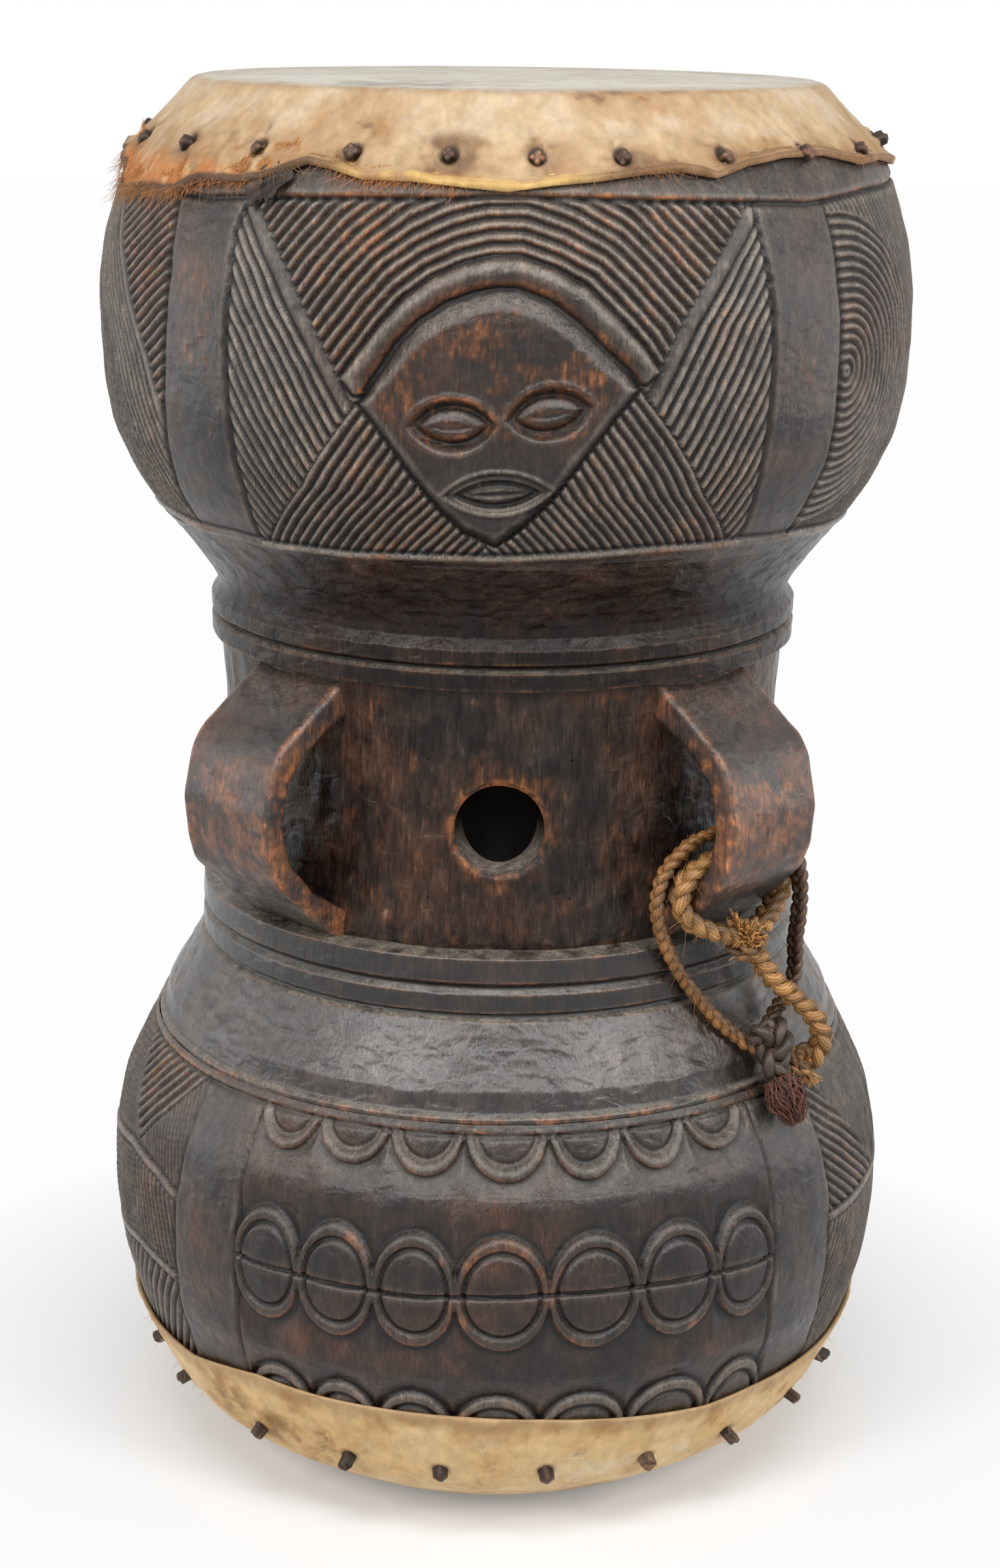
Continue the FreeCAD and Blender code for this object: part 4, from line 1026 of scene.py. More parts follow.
def log_inside(count=120, cols=90):
    pts = np.array(INSIDE, float)
    run = run_of(pts[:, ::-1])
    theta, row = np.meshgrid(np.linspace(0, 360, cols, endpoint=False), np.arange(count))
    z, r = at_runs(np.linspace(0, run[-1], count), run, pts).T
    q = shell(theta, z[row], r[row])
    # A near-black, dull inside: painted shade
    dark = np.broadcast_to(np.array([0.006, 0.005, 0.004]), q.shape)
    log_piece("log_inside", q, with_rough(dark, 0.9), wood_inside, wrap=True)


log_inside()

# Handles
OUTER = [(121, 371.5), (124, 369.5), (140, 359), (154.5, 348.5), (159.5, 341), (164.4, 321), (162.5, 303),
         (158.5, 292), (141, 274.5), (122, 259), (118, 256)]
INNER = [(117, 357), (120, 355.5), (131.5, 350), (142.6, 342), (150.5, 333), (154, 317), (150.5, 300),
         (137, 284), (124, 275.5), (118, 272), (115, 270.5)]
HANDLES = (("left", -43.7), ("right", 43.7), ("back_right", 136.3), ("back_left", -136.3))
STRAP_HALF, STRAP_CORNER = 26.2, 2.4
UP = np.array([0, 0, 1.0])


def curve_through(points, count):
    pts = np.array(points, float)
    run = run_of(pts)
    dense = at_runs(np.linspace(0, run[-1], count * 4), run, pts)
    n = max(2, int(count * 4 * 0.022))
    box = np.ones(2 * n + 1) / (2 * n + 1)
    soft = [np.convolve(np.pad(line, n, mode="reflect", reflect_type="odd"), box, "valid") for line in dense.T]
    return np.stack(soft, -1)[np.linspace(0, len(soft[0]) - 1, count).round().astype(int)]


def strap(name, angle, seed, count=120, across=46, deep=8):
    """A strap handle: the section's places a across and b outwards, from -1 to 1, swept from top to foot."""
    outer, inner = curve_through(OUTER, count), curve_through(INNER, count)
    ring = [(-1 + 2 * k / (across - 1), 1.0) for k in range(across)]
    ring += [(1.0, 1 - 2 * k / deep) for k in range(1, deep)]
    ring += [(1 - 2 * k / (across - 1), -1.0) for k in range(across)]
    ring += [(-1.0, -1 + 2 * k / deep) for k in range(1, deep)]
    a, b = np.array(ring).T
    centre, outwards = (outer + inner) / 2, (outer - inner) / 2
    thick = np.hypot(*outwards.T)[:, None]
    wb = b[None] * thick
    wa = np.broadcast_to((a * STRAP_HALF)[None], wb.shape)
    # Rounded corners of the section
    ex = np.maximum(np.abs(wa) - (STRAP_HALF - STRAP_CORNER), 0)
    ey = np.maximum(np.abs(wb) - (thick - STRAP_CORNER), 0)
    over = np.hypot(ex, ey)
    pull = np.where(over > STRAP_CORNER, STRAP_CORNER / np.maximum(over, 1e-6), 1)
    wa = np.sign(wa) * (np.minimum(np.abs(wa), STRAP_HALF - STRAP_CORNER) + ex * pull)
    wb = np.sign(wb) * (np.minimum(np.abs(wb), thick - STRAP_CORNER) + ey * pull)
    way = (outwards / thick)[:, None]
    R, Z = centre[:, None, 0] + way[..., 0] * wb, centre[:, None, 1] + way[..., 1] * wb
    t = math.radians(angle)
    out, side = np.array([math.sin(t), -math.cos(t), 0]), np.array([math.cos(t), math.sin(t), 0])
    p = R[..., None] * out + wa[..., None] * side + Z[..., None] * UP
    b = b[None] * np.ones_like(wa)
    h = -0.5 * (1 - facets(p * (1, 1, 0.6), 16, seed)) + 0.25 * noise(p, 14, seed + 1) + 0.1 * noise(p, 4, seed + 2)
    p = p + (h * ((b > 0.9) * 1.0 - (b < -0.9) * 1.0))[..., None] * (way[..., 0:1] * out + way[..., 1:2] * UP)
    rim = np.clip((np.abs(wa) - (STRAP_HALF - 5)) / 5, 0, 1) * np.clip((np.abs(wb) - (thick - 3)) / 3, 0, 1)
    along = np.linspace(0, 1, count)[:, None] * np.ones_like(wa)
    out_face, side_face = b > 0.9, np.abs(wa) > STRAP_HALF - 1.2
    front_arm = smooth(along, 0.26, 0.40) * smooth(0.76 - along, 0, 0.12) * out_face
    mid, fine, small = clouds(p, 9, seed + 3), clouds(p * (1, 1, 0.6), 1.6, seed + 4), clouds(p, 3.4, seed + 5)
    dust_and_sheen = 0.3 + 0.35 * smooth(along, 0.74, 0.8) * out_face
    tone = wood_tone(p, h, 1.4, 0.45 + 0.5 * front_arm, dust_and_sheen, 0.5, 3, True)
    # Wood rubbed to orange brown by hands, most on the side towards the sound hole and on the rims
    warm = mix(BROWN * 1.3, ORANGE * 1.08, smooth(small + 0.6 * mid + 0.5 * fine, -0.2, 0.9))
    inwards = smooth(-wa * np.sign(angle) * (1 if abs(angle) < 90 else -1), STRAP_HALF - 14, STRAP_HALF)
    on_side = side_face * (0.5 + 0.5 * smooth(along, 0.15, 0.3)) * smooth(mid + 0.6 * small, -0.6, 0.3) * 0.85
    rust = np.maximum(front_arm * (0.55 + 0.45 * inwards) * smooth(mid + 0.8 * small, -0.65, 0.35), on_side)
    rust = np.maximum(rust, smooth(rim, 0.25, 0.7) * smooth(mid + small, -0.7, 0.2))
    paint(tone, warm, rust * 0.95)
    paint(tone, ORANGE * 1.5, smooth(rim, 0.5, 0.95) * smooth(small + 0.5 * fine, 0.1, 0.8) * 0.75)
    # Dust on the top and lower arms of the outer face, with a painted sheen on the lower arm
    end_dust_and_sheen = smooth(along, 0.72, 0.8) * out_face * 0.35 + smooth(0.24 - along, 0, 0.2) * out_face * 0.25
    paint(tone, DUST_AND_SHEEN * 1.1, end_dust_and_sheen)
    # The inner face, towards the neck, darkened: painted shade
    tone[..., :3] *= (1 - (b < -0.9) * 0.6)[..., None]
    paint(tone, PATINA * 0.8, smooth(small + 0.6 * fine, 0.55, 0.9) * 0.75)
    tone[..., 3] = np.where(out_face, tone[..., 3] - 0.05, tone[..., 3])
    return log_piece(name, p, tone, wood_plain, wrap=True)


for k, (name, angle) in enumerate(HANDLES):
    strap("strap_handle_" + name, angle, 200 + 10 * k)

# Skins
BOTTOM_EDGE = [(-73.4, 66), (-71.3, 64.0), (-51.8, 64.2), (-44, 69), (-36.4, 72.6), (-26.8, 71.4), (-14.6, 71.3),
               (-3.3, 70.9), (7.9, 69.3), (19.7, 65.8), (33.1, 61.9), (42.3, 63.0), (62.5, 62.4)]
TOP_PEGS = [-72, -54, -38, -22, -8, 4, 16, 32, 48, 65, 85] + [95 + 15.2 * k for k in range(12)]
BOTTOM_PEGS = [-78, -62, -40, -23, -8, 8.5, 25, 41, 58, 74] + [88 + 16.3 * k for k in range(12)]
TOP_PEG_Z, BOTTOM_PEG_Z = 585.5, 39
# Paths of the skins as (radius, height), from the edge of the flat disc to past their wavy edges
TOP_PATH = [(128.6, 608.8), (131.4, 608.1), (133.6, 606.9), (135.4, 605.2), (137.2, 603.2), (140.8, 599.4),
            (144.6, 595.4), (148.6, 591.4), (152.6, 587.4), (156.4, 583.2), (159.6, 578.8), (162.2, 574.2),
            (164.3, 569.2), (165.9, 564.0), (166.8, 560.0)]
BOTTOM_PATH = [(102, 0.25), (106.5, 0.7), (110.5, 2.2), (114.5, 4.6), (120.5, 8.4), (127.5, 13.0), (134.6, 17.8),
               (141.2, 22.4), (146.6, 27.0), (150.2, 31.2), (153.8, 36.5), (158.0, 44), (162.6, 53), (166.2, 61),
               (168.6, 68), (170.6, 75), (171.6, 80)]
HEAD_Z, BASE_Z = 608.9, 0.25
SKIN_COLS = 840
CREAM = np.array([0.50, 0.36, 0.20])
TAN = np.array([0.30, 0.165, 0.07])
OCHRE = np.array([0.42, 0.22, 0.06])
HEAD = np.array([0.47, 0.44, 0.38])
# Brown of stains, also used for painted shade
STAIN_AND_SHADE = np.array([0.12, 0.065, 0.032])


def peg_pull(theta, z, angles, level, reach):
    """How near a point of the skin is to one of its pegs, from 0 to 1."""
    near = np.zeros_like(theta)
    for a in angles:
        near = np.maximum(near, np.exp(-((turned(theta - a) * 2.7) ** 2 + (z - level) ** 2) / reach ** 2))
    return near


def top_folds(ts, q, z):
    """Folds of the upper skin round its pegs, and how deep the creases between them are, for their painted shade."""
    fold, painted_crease_shade = 0.0, 0.0
    down = TOP_PEG_Z - z
    for n, b in enumerate(TOP_PEGS):
        d = turned(ts - b) * 2.7
        away, turn = np.hypot(d, z - TOP_PEG_Z), np.arctan2(d, z - TOP_PEG_Z)
        rays = bell(away, 12) * np.cos(turn * 5 + 2.1 * n + 1.6 * noise(q, 7, 325))
        rays = rays * smooth(away, 2.5, 6) * (0.55 + 0.6 * noise(q, 6, 326))
        fold = fold + rays * 1.15
        painted_crease_shade = painted_crease_shade + np.maximum(-rays, 0)
        fold = fold + 1.25 * bell(away - 4.9, 1.5) * (0.7 + 0.4 * np.cos(turn * 2 + n)) - 1.3 * bell(away, 3.0)
        fold = fold + 0.9 * bell(d - 0.18 * down, 1.7) * smooth(down, 3, 7)
        fold = fold - 0.6 * bell(d - (4.5 if n % 2 else -4.5), 2.2) * smooth(down, 1, 6)
    nearest = np.min(np.abs(turned(ts[:, None] - np.array(TOP_PEGS)[None])), 1) * 2.7
    lift = (1 - bell(nearest, 8)) * smooth(588 - z, 0, 10) * (1.6 + 1.1 * noise(q * (1, 1, 0), 17, 324))
    return fold + lift, painted_crease_shade


def top_points():
    """Grid of the upper skin; kind is 0 on the disc, 1 to 2 down the side and 2.05 on the edge's underside."""
    ts = np.linspace(0, 360, SKIN_COLS, endpoint=False)
    path = np.array(TOP_PATH)
    run = run_of(path)
    end = np.interp(-top_edge(ts), -path[:, 1], run)
    rows = []
    for r in np.linspace(3, 126, 46):
        base = shell(ts, np.full(SKIN_COLS, HEAD_Z), r)
        sag = 0.35 * noise(base, 40, 311) + 0.12 * noise(base, 11, 312)
        rows.append((base + sag[:, None] * UP, 0.0, 0 * ts))
    for f in np.arange(56) / 55:
        r, z = at_runs(f * end, run, path).T
        q = shell(ts, z, r)
        fold, painted_crease_shade = top_folds(ts, q, z)
        wave = 0.9 * noise(q * (1, 1, 0.35), 11, 321) * f + 0.25 * noise(q * (1, 1, 0.4), 3.2, 322) * f
        wave = wave + fold * smooth(f, 0.2, 0.5)
        roll = (1.9 * smooth(f, 0.92, 0.99) - 0.5 * bell(f - 0.88, 0.03)) * (1 + 0.5 * noise(q * (1, 1, 0), 14, 323))
        out = 0.5 + wave + roll
        rows.append((shell(ts, z, r + out * 0.75) + UP * (out * 0.45)[:, None], 1.0 + f, painted_crease_shade))
    r_end, z_end = at_runs(end, run, path).T
    for drop, back in ((-0.9, 1.3), (-1.3, 0.5), (-0.9, -0.6), (0.6, -1.4), (3.0, -2.2)):
        rows.append((shell(ts, z_end + drop + 0.5, r_end + 0.7 + back), 2.05, 0 * ts))
    p, kind, painted_crease_shade = (np.array(part) for part in zip(*rows))
    return p, kind[:, None] * np.ones(SKIN_COLS), painted_crease_shade, np.broadcast_to(turned(ts), painted_crease_shade.shape)


def top_hide():
    p, kind, painted_crease_shade, side_on = top_points()
    z = p[..., 2]
    blot, mid, fine = clouds(p, 34, 331), clouds(p, 10, 332), clouds(p, 2.6, 333)
    streak = clouds(p * (1, 1, 0.25), 4.5, 334)
    low = smooth(600 - z, 0, 22)
    col = mix(CREAM, TAN, 0.34 + 0.44 * low + 0.5 * blot + 0.36 * mid + 0.25 * streak)
    col = mix(col, OCHRE, smooth(mid + 0.6 * streak + 0.2 * blot, 0.15, 0.9) * 0.55)
    col = mix(col, np.array([0.60, 0.50, 0.36]), smooth(0.6 - low, 0, 0.6) * smooth(0.3 + mid - blot, 0, 0.9) * 0.55)
    # Dried blood-brown stains, strongest above four of the front pegs
    patch = sum(k * bell(side_on - at, wide) for k, at, wide in ((1, -10, 9), (0.8, 20, 7), (0.6, 52, 8), (0.5, -45, 7)))
    patch = patch + 0.55 * (np.abs(side_on) > 80)
    dried = smooth(patch * 0.8 + 0.8 * mid + 0.5 * streak + 0.2 * blot - 0.25, 0.15, 1.0)
    col = mix(col, np.array([0.135, 0.070, 0.040]), dried * smooth(low, 0.05, 0.5) * 0.8)
    col = mix(col, STAIN_AND_SHADE, smooth(blot + 0.7 * mid + 0.4 * fine, 0.5, 1.1) * 0.75)
    # Ginger fur that is left on the skin
    fur = smooth(-side_on, 26, 42) * smooth(side_on + 92, 0, 16) * smooth(583 - z + 4 * mid, 0, 7)
    fur = np.maximum(fur, bell(side_on + 14, 8) * smooth(580.5 - z, 0, 3) * 0.8)
    ginger = mix(np.array([0.44, 0.165, 0.042]), np.array([0.62, 0.40, 0.19]), smooth(streak + fine, 0, 1))
    col = mix(col, ginger, fur * 0.85)
    col = mix(col, np.array([0.11, 0.05, 0.025]), fur * smooth(streak + 0.8 * mid - 0.1, 0.25, 0.8) * 0.6)
    col = col * (0.86, 0.85, 0.88)
    # Grey worn head, and the darker turn at its edge
    radial = np.hypot(p[..., 0], p[..., 1])
    greyed = 0.35 * (blot + 0.4) + 0.3 * smooth(radial, 100, 132) + 0.2 * mid
    head = mix(HEAD, np.array([0.30, 0.24, 0.17]), greyed)
    smudge = np.exp(-(((p[..., 0] + 42) / 38) ** 2 + ((p[..., 1] + 86) / 40) ** 2))
    head = mix(head, np.array([0.16, 0.14, 0.125]), 0.5 * smooth(smudge + 0.5 * mid, 0.35, 1.0))
    col = mix(col, head, 1 - smooth(kind, 0.99, 1.12))
    col = mix(col, col * (0.74, 0.66, 0.56), bell(kind - 1.07, 0.05) * 0.6)
    # Stains round the pegs, painted shade in the creases of the folds, and the skin right round each peg nearly black:
    # stain and painted shade in its hole
    near = peg_pull(side_on, z, TOP_PEGS, TOP_PEG_Z, 3.6)
    halo = peg_pull(side_on, z, TOP_PEGS, TOP_PEG_Z - 2, 9.5)
    col = mix(col, STAIN_AND_SHADE * 1.2, smooth(halo + 0.35 * mid + 0.3 * streak, 0.45, 1.0) * 0.55 * (kind > 0.9))
    col = mix(col, STAIN_AND_SHADE * 0.8, smooth(painted_crease_shade, 0.1, 0.8) * 0.55)
    col = mix(col, STAIN_AND_SHADE * 0.2, smooth(near, 0.2, 0.6) * (kind > 0.9))
    # The rolled edge: golden in front, nearly black at the left
    gold_rim = smooth(22 - np.abs(side_on + 6), 0, 10)
    dark_rim = smooth(-side_on, 22, 34) * smooth(side_on + 95, 0, 12)
    rim = mix(np.array([0.20, 0.105, 0.045]), np.array([0.56, 0.36, 0.12]), gold_rim)
    rim = mix(rim, np.array([0.030, 0.017, 0.010]), dark_rim)
    col = mix(col, rim, smooth(kind, 1.93, 1.985) * smooth(mid + 0.6 + 0.4 * dark_rim, 0, 0.6) * 0.85)
    col = mix(col, np.array([0.05, 0.028, 0.016]), bell(kind - 1.985, 0.012) * (1 - 0.5 * gold_rim) * 0.55)
    piece = grid_mesh("drum_skin", p, with_rough(col, 0.62 + 0.1 * mid), wrap=True, pole=(0, 0, HEAD_Z))
    piece.data.flip_normals()
    finish(piece, hide, "hide", "top_skin")


def bottom_points():
    """Grid of the lower skin, with kind as in the upper one."""
    ts = np.linspace(0, 360, SKIN_COLS, endpoint=False)
    path = np.array(BOTTOM_PATH)
    run = run_of(path)
    end = np.interp(skin_edge(ts, BOTTOM_EDGE, 401, 66.0), path[:, 1], run)
    rows = [(shell(ts, np.full(SKIN_COLS, BASE_Z), r), 0.0) for r in np.linspace(3, 101, 26)]
    for f in np.arange(84) / 83:
        r, z = at_runs(f * end, run, path).T
        q = shell(ts, z, r)
        fold = 0.0
        for b in BOTTOM_PEGS:
            d = turned(ts - b) * 2.8
            away, turn = np.hypot(d, z - BOTTOM_PEG_Z), np.arctan2(d, z - BOTTOM_PEG_Z)
            fold = fold + bell(away, 20) * np.cos(turn * 6 + b) * 0.4 * smooth(away, 4, 10) + 0.8 * bell(away - 4.6, 1.6)
        wave = 0.7 * noise(q * (1, 1, 0.3), 11, 421) + 0.25 * noise(q * (1, 1, 0.4), 3.6, 422) + fold
        out = 0.35 + wave * smooth(f, 0.1, 0.35) * 0.8 + 0.5 * smooth(f, 0.95, 1.0)
        down = np.maximum(out, 0) * 0.15 * (z > 3)
        rows.append((shell(ts, z, r + out * 0.8) - UP * down[:, None], 1.0 + f))
    r_end, z_end = at_runs(end, run, path).T
    for rise, back in ((0.7, 0.6), (0.9, -0.3), (0.4, -1.4), (-1.5, -2.6)):
        rows.append((shell(ts, z_end + rise, r_end + back + 0.2), 2.05))
    p, kind = (np.array(part) for part in zip(*rows))
    p[..., 2] = np.maximum(p[..., 2], 0.15)
    return p, kind[:, None] * np.ones(SKIN_COLS), np.broadcast_to(turned(ts), p.shape[:2])


def bottom_hide():
    p, kind, side_on = bottom_points()
    z = p[..., 2]
    blot, mid, fine = clouds(p, 38, 431), clouds(p, 12, 432), clouds(p, 2.6, 433)
    streak = clouds(p * (1, 1, 0.3), 5, 434)
    col = mix(np.array([0.60, 0.43, 0.22]), OCHRE * 1.1, 0.32 + 0.5 * blot + 0.35 * mid)
    col = mix(col, np.array([0.64, 0.54, 0.38]), smooth(mid - blot + 0.3 * streak, 0.3, 1.0) * 0.6)
    dark = smooth(blot + 0.8 * mid + 0.5 * fine + 0.2 * streak, 0.25, 1.15)
    col = mix(col, np.array([0.20, 0.105, 0.038]), dark * 0.8)
    browned = smooth(kind, 1.80, 1.95) * smooth(mid + 0.4 * streak + 0.25, 0, 0.7)
    col = mix(col, np.array([0.36, 0.185, 0.06]), browned * 0.7)
    near = peg_pull(side_on, z, BOTTOM_PEGS, BOTTOM_PEG_Z, 6)
    col = mix(col, TAN * 0.7, smooth(near, 0.4, 0.9) * 0.6 * (kind > 0.9))
    col = mix(col, np.array([0.34, 0.22, 0.11]), smooth(kind, 1.95, 2.0) * 0.8)
    col = mix(col, TAN * 0.8, smooth(kind, 1.90, 1.95) * (1 - smooth(kind, 1.96, 2.0)) * 0.35)
    # Darker towards the bottom, under the drum near the floor: painted shade
    col = mix(col, STAIN_AND_SHADE, smooth(-z, -6, 0) * 0.35)
    tone = with_rough(col, 0.6 + 0.1 * mid)
    finish(grid_mesh("bottom_skin_hide", p, tone, wrap=True, pole=(0, 0, BASE_Z)), hide, "hide", "bottom_skin")


top_hide()
bottom_hide()


# Pegs
PEG_FADE = np.array([1, 1, 1, 1, 1, 1.1, 1.7, 2.4])[:, None]  # paler towards the cut end
PEG_TAPER = np.array([0.7, 0.85, 1.0, 1.02, 1.0, 0.98, 0.9, 0.6])
PEG_R = 156.0


def peg_set(name, angles, level, slope, body, seed, stub, shades, girth):
    """Whittled square pegs in one mesh."""
    strands = Strands()
    gen = np.random.default_rng(seed)
    for a in angles:
        t, tilt = math.radians(a), math.radians(slope)
        out = np.array([math.sin(t) * math.cos(tilt), -math.cos(t) * math.cos(tilt), math.sin(tilt)])
        out = unit(out + gen.normal(0, 0.09, 3))
        long = stub + gen.uniform(-0.7, 1.0)
        base = shell(np.array(a), np.array(level + gen.uniform(-0.6, 0.6)), np.array(PEG_R))
        steps = np.array([-9, -4, -1, 0.2, 0.7, long - 0.7, long - 0.2, long])
        width = (girth + gen.uniform(-0.3, 0.35)) * PEG_TAPER
        line = base + out * steps[:, None] + gen.normal(0, 0.07, (len(steps), 3))
        colour = np.array([0.042, 0.020, 0.010]) * gen.uniform(0.6, 1.5) * (shades if gen.uniform() < 0.25 else 1)
        tone = with_rough(colour * PEG_FADE, 0.55)
        strands.tube(line, width, 16, tone, twist=gen.uniform(-0.05, 0.05), lobes=4, lobe_depth=0.15)
    nodes = [f"{body}_{k:02d}" for k in range(1, len(angles) + 1)]
    return finish(strands.build(name), stick, "peg_wood", *nodes)


peg_set("whittled_pegs_top", TOP_PEGS, 585.3, 22, "top_peg", 11, 2.4, 2.0, 2.6)
peg_set("whittled_pegs_bottom", BOTTOM_PEGS, 39.2, -24, "bottom_peg", 12, 5.4, 1.8, 3.1)


# Scrap of hide
def scrap():
    u, v = np.meshgrid(np.linspace(-1, 1, 60), np.linspace(-1, 1, 40))
    x = u * (8.6 * (1 - 0.25 * v ** 2) * (1 + 0.12 * np.sin(v * 5 + 1))) + 1.2 * np.sin(v * 3)
    z = 573.5 + (v * (6.2 + 0.9 * np.sin(u * 6 + 0.5) + 0.7 * np.sin(u * 13)) + 1.5 * u)
    lift = 1.6 + 0.75 * np.sin(u * 3.3 + v) + 0.9 * np.sin(v * 4.2 - u * 2) + 1.1 * (u ** 2)
    theta = -33.5 + x / 2.85
    r = table(z, *UPPER) + 1.2 + np.maximum(lift, 0.3)
    both = np.concatenate([shell(theta, z, r), shell(theta, z, r - 0.9)[::-1]])
    col = mix(np.array([0.018, 0.011, 0.008]), np.array([0.10, 0.05, 0.025]), smooth(clouds(both, 6, 501), 0.1, 0.9))
    piece = grid_mesh("torn_scrap", both, with_rough(col, 0.55), wrap_rows=True)
    finish(piece, hide, "dark_hide", "hide_scrap")


scrap()

# Ropes
RING = [(99, -110, 264.5), (91, -116, 268.5), (82, -121.5, 272.5), (75, -122.5, 279.5), (74, -123, 288.5),
        (78.5, -122, 295), (88, -114.5, 300), (99.5, -103, 300.5), (110.5, -91.5, 299.5), (117.5, -83, 296),
        (121, -78.5, 287), (120, -81.5, 277), (115.5, -92, 270), (110, -101.5, 267)]
SLING = [(114, -107, 212.5), (107.5, -107.5, 214.5), (101, -107.5, 219.5), (92.5, -109, 227.5), (83, -111.5, 239),
         (73.5, -118.5, 254.5), (67.5, -122, 269), (65, -124, 280), (65.5, -124.5, 289.5), (69, -123.5, 299),
         (78, -117, 307), (91, -106, 309.5), (106, -93, 309.5), (121, -86, 304), (126.5, -83.5, 292.5),
         (128.5, -84.5, 279.5), (128.5, -83.5, 266.5), (127.5, -80.5, 254), (128.5, -78.5, 242),
         (127, -80, 233.5), (123, -85, 227.5), (118.5, -91, 223.5), (115.5, -97.5, 220)]
TAIL = [(106.5, -106.5, 258.5), (110.5, -103, 253), (116.5, -100.5, 242.5), (125.5, -96, 234),
        (134.5, -93.5, 225.5), (140, -92, 216), (139, -90.5, 207), (134.5, -90, 202)]
ROPE_STEP = 0.6
PLAIT = (3.0, 1.55, 21.0)  # how far its strands swing sideways and in depth, and its pitch
GOLD = np.array([0.42, 0.205, 0.062])
AMBER = np.array([0.30, 0.13, 0.035])
DEEP = np.array([0.135, 0.058, 0.02])
PURPLE = np.array([0.070, 0.043, 0.030])
MAROON = np.array([0.075, 0.024, 0.014])
STRAW = np.array([0.40, 0.28, 0.13])


def spline_points(name, route):
    """Points along a route's smooth line, in metres."""
    data = bpy.data.curves.new(name + "_line", "CURVE")
    data.dimensions = "3D"
    spline = data.splines.new("NURBS")
    spline.points.add(len(route) - 1)
    for point, place in zip(spline.points, route):
        point.co = (*(v * MM for v in place), 1.0)
    spline.order_u = 3
    spline.use_endpoint_u = True
    spline.resolution_u = 12
    line = bpy.data.objects.new(name + "_line", data)
    scene.collection.objects.link(line)
    mesh = bpy.data.meshes.new_from_object(line)
    points = [tuple(v.co) for v in mesh.vertices]
    bpy.data.objects.remove(line)
    bpy.data.curves.remove(data)
    bpy.data.meshes.remove(mesh)
    return points


def even(points):
    """The same line in mm with points at even steps, and the length run to each."""
    pts = np.array(points) / MM
    gaps = np.linalg.norm(np.diff(pts, axis=0), axis=1)
    pts = pts[np.concatenate([[True], gaps > 1e-6])]
    run = run_of(pts)
    s = np.linspace(0, run[-1], max(8, int(run[-1] / ROPE_STEP) + 1))
    return at_runs(s, run, pts), s


def plaited(s, width, thick, pitch):
    """Places of a plait's three strands across its line."""
    starts = [k * 2 * np.pi / 3 for k in range(3)]
    return [(width * np.sin(2 * np.pi * s / pitch + f), thick * np.sin(4 * np.pi * s / pitch + 2 * f)) for f in starts]


def twisted(s, reach, pitch):
    """Places of two strands that wind round each other."""
    starts = [k * 2 * np.pi / 2 for k in range(2)]
    return [(reach * np.cos(2 * np.pi * s / pitch + f), reach * np.sin(2 * np.pi * s / pitch + f)) for f in starts]


def laid(strands, line, s, places, thickness, colour, lobes, sides, twist, seed):
    """Strands that wind round a line. places holds each strand's place across it."""
    _, side, up = frames(line)
    for k, (a, b) in enumerate(places):
        own = line + side * a[:, None] + up * b[:, None]
        spot = np.stack([s, s * 0 + 40 * k, s * 0 + seed], -1)
        n1, n2 = noise(spot, 9.0, 601 + k), noise(spot, 2.3, 611 + k)
        own = own + (side * n1[:, None] + up * n2[:, None]) * 0.15
        thick = thickness / 2 * (1 + 0.09 * n1 + 0.05 * n2)
        # Strands darker where they dip under the others: painted shade
        sunk_shade = smooth(-b, -0.3, max(0.2, np.abs(b).max())) * 0.62
        tint = (1 + 0.25 * n1 + 0.12 * n2) * (1 - sunk_shade)
        tone = with_rough(np.clip(colour * tint[:, None], 0, 1), 0.46)
        strands.tube(own, thick, sides, tone, twist=twist, lobes=lobes, lobe_depth=0.11)


def whiskers(strands, line, count, long, out, colour, seed, reach, thin):
    """Loose fibres that stand off a rope."""
    gen = np.random.default_rng(seed)
    ahead, side, up = frames(line)
    t = np.linspace(0, 1, 6)[:, None]
    for _ in range(count):
        k = gen.integers(2, len(line) - 2)
        turn = gen.uniform(0, 2 * np.pi)
        away = side[k] * math.cos(turn) + up[k] * math.sin(turn)
        size = long * gen.uniform(0.4, 1.2)
        lean = ahead[k] * gen.choice((-1, 1)) * gen.uniform(0.5, 1.2)
        bend = away * out * t ** 1.2 + lean * t * 0.9 + gen.normal(0, 0.35, 3) * t ** 2 - 0.35 * UP * t ** 2
        path = line[k] + away * reach + bend * size
        shade = gen.uniform(0.6, 1.3)
        strands.tube(path, thin * np.linspace(1, 0.35, 6), 3, (*(colour * shade), 0.6), capped=False)


ring_path = spline_points("ring", RING)
ring_line, ring_s = even(ring_path)
strands = Strands()
laid(strands, ring_line, ring_s, plaited(ring_s, *PLAIT), 4.8, GOLD * 0.95, 9, 36, 2.3, 1)
ring = finish(strands.build("plait_ring_rope"), fibre, "plait", "plait_ring")

sling_path = spline_points("sling", SLING)
sling_line, sling_s = even(sling_path)
strands = Strands()
darker = mix(AMBER, DEEP, smooth(sling_s, 120, 200))
laid(strands, sling_line, sling_s, plaited(sling_s, 1.9, 1.15, 15.5), 3.5, darker, 7, 28, 2.6, 2)
sling = finish(strands.build("sling_cord"), fibre, "sling", "sling_rope")

tail_path = spline_points("tail", TAIL)
tail_line, tail_s = even(tail_path)
strands = Strands()
laid(strands, tail_line, tail_s, plaited(tail_s, *PLAIT), 4.8, GOLD, 9, 36, 2.3, 3)
tail = finish(strands.build("plait_tail_rope"), fibre, "plait", "plait_tail")

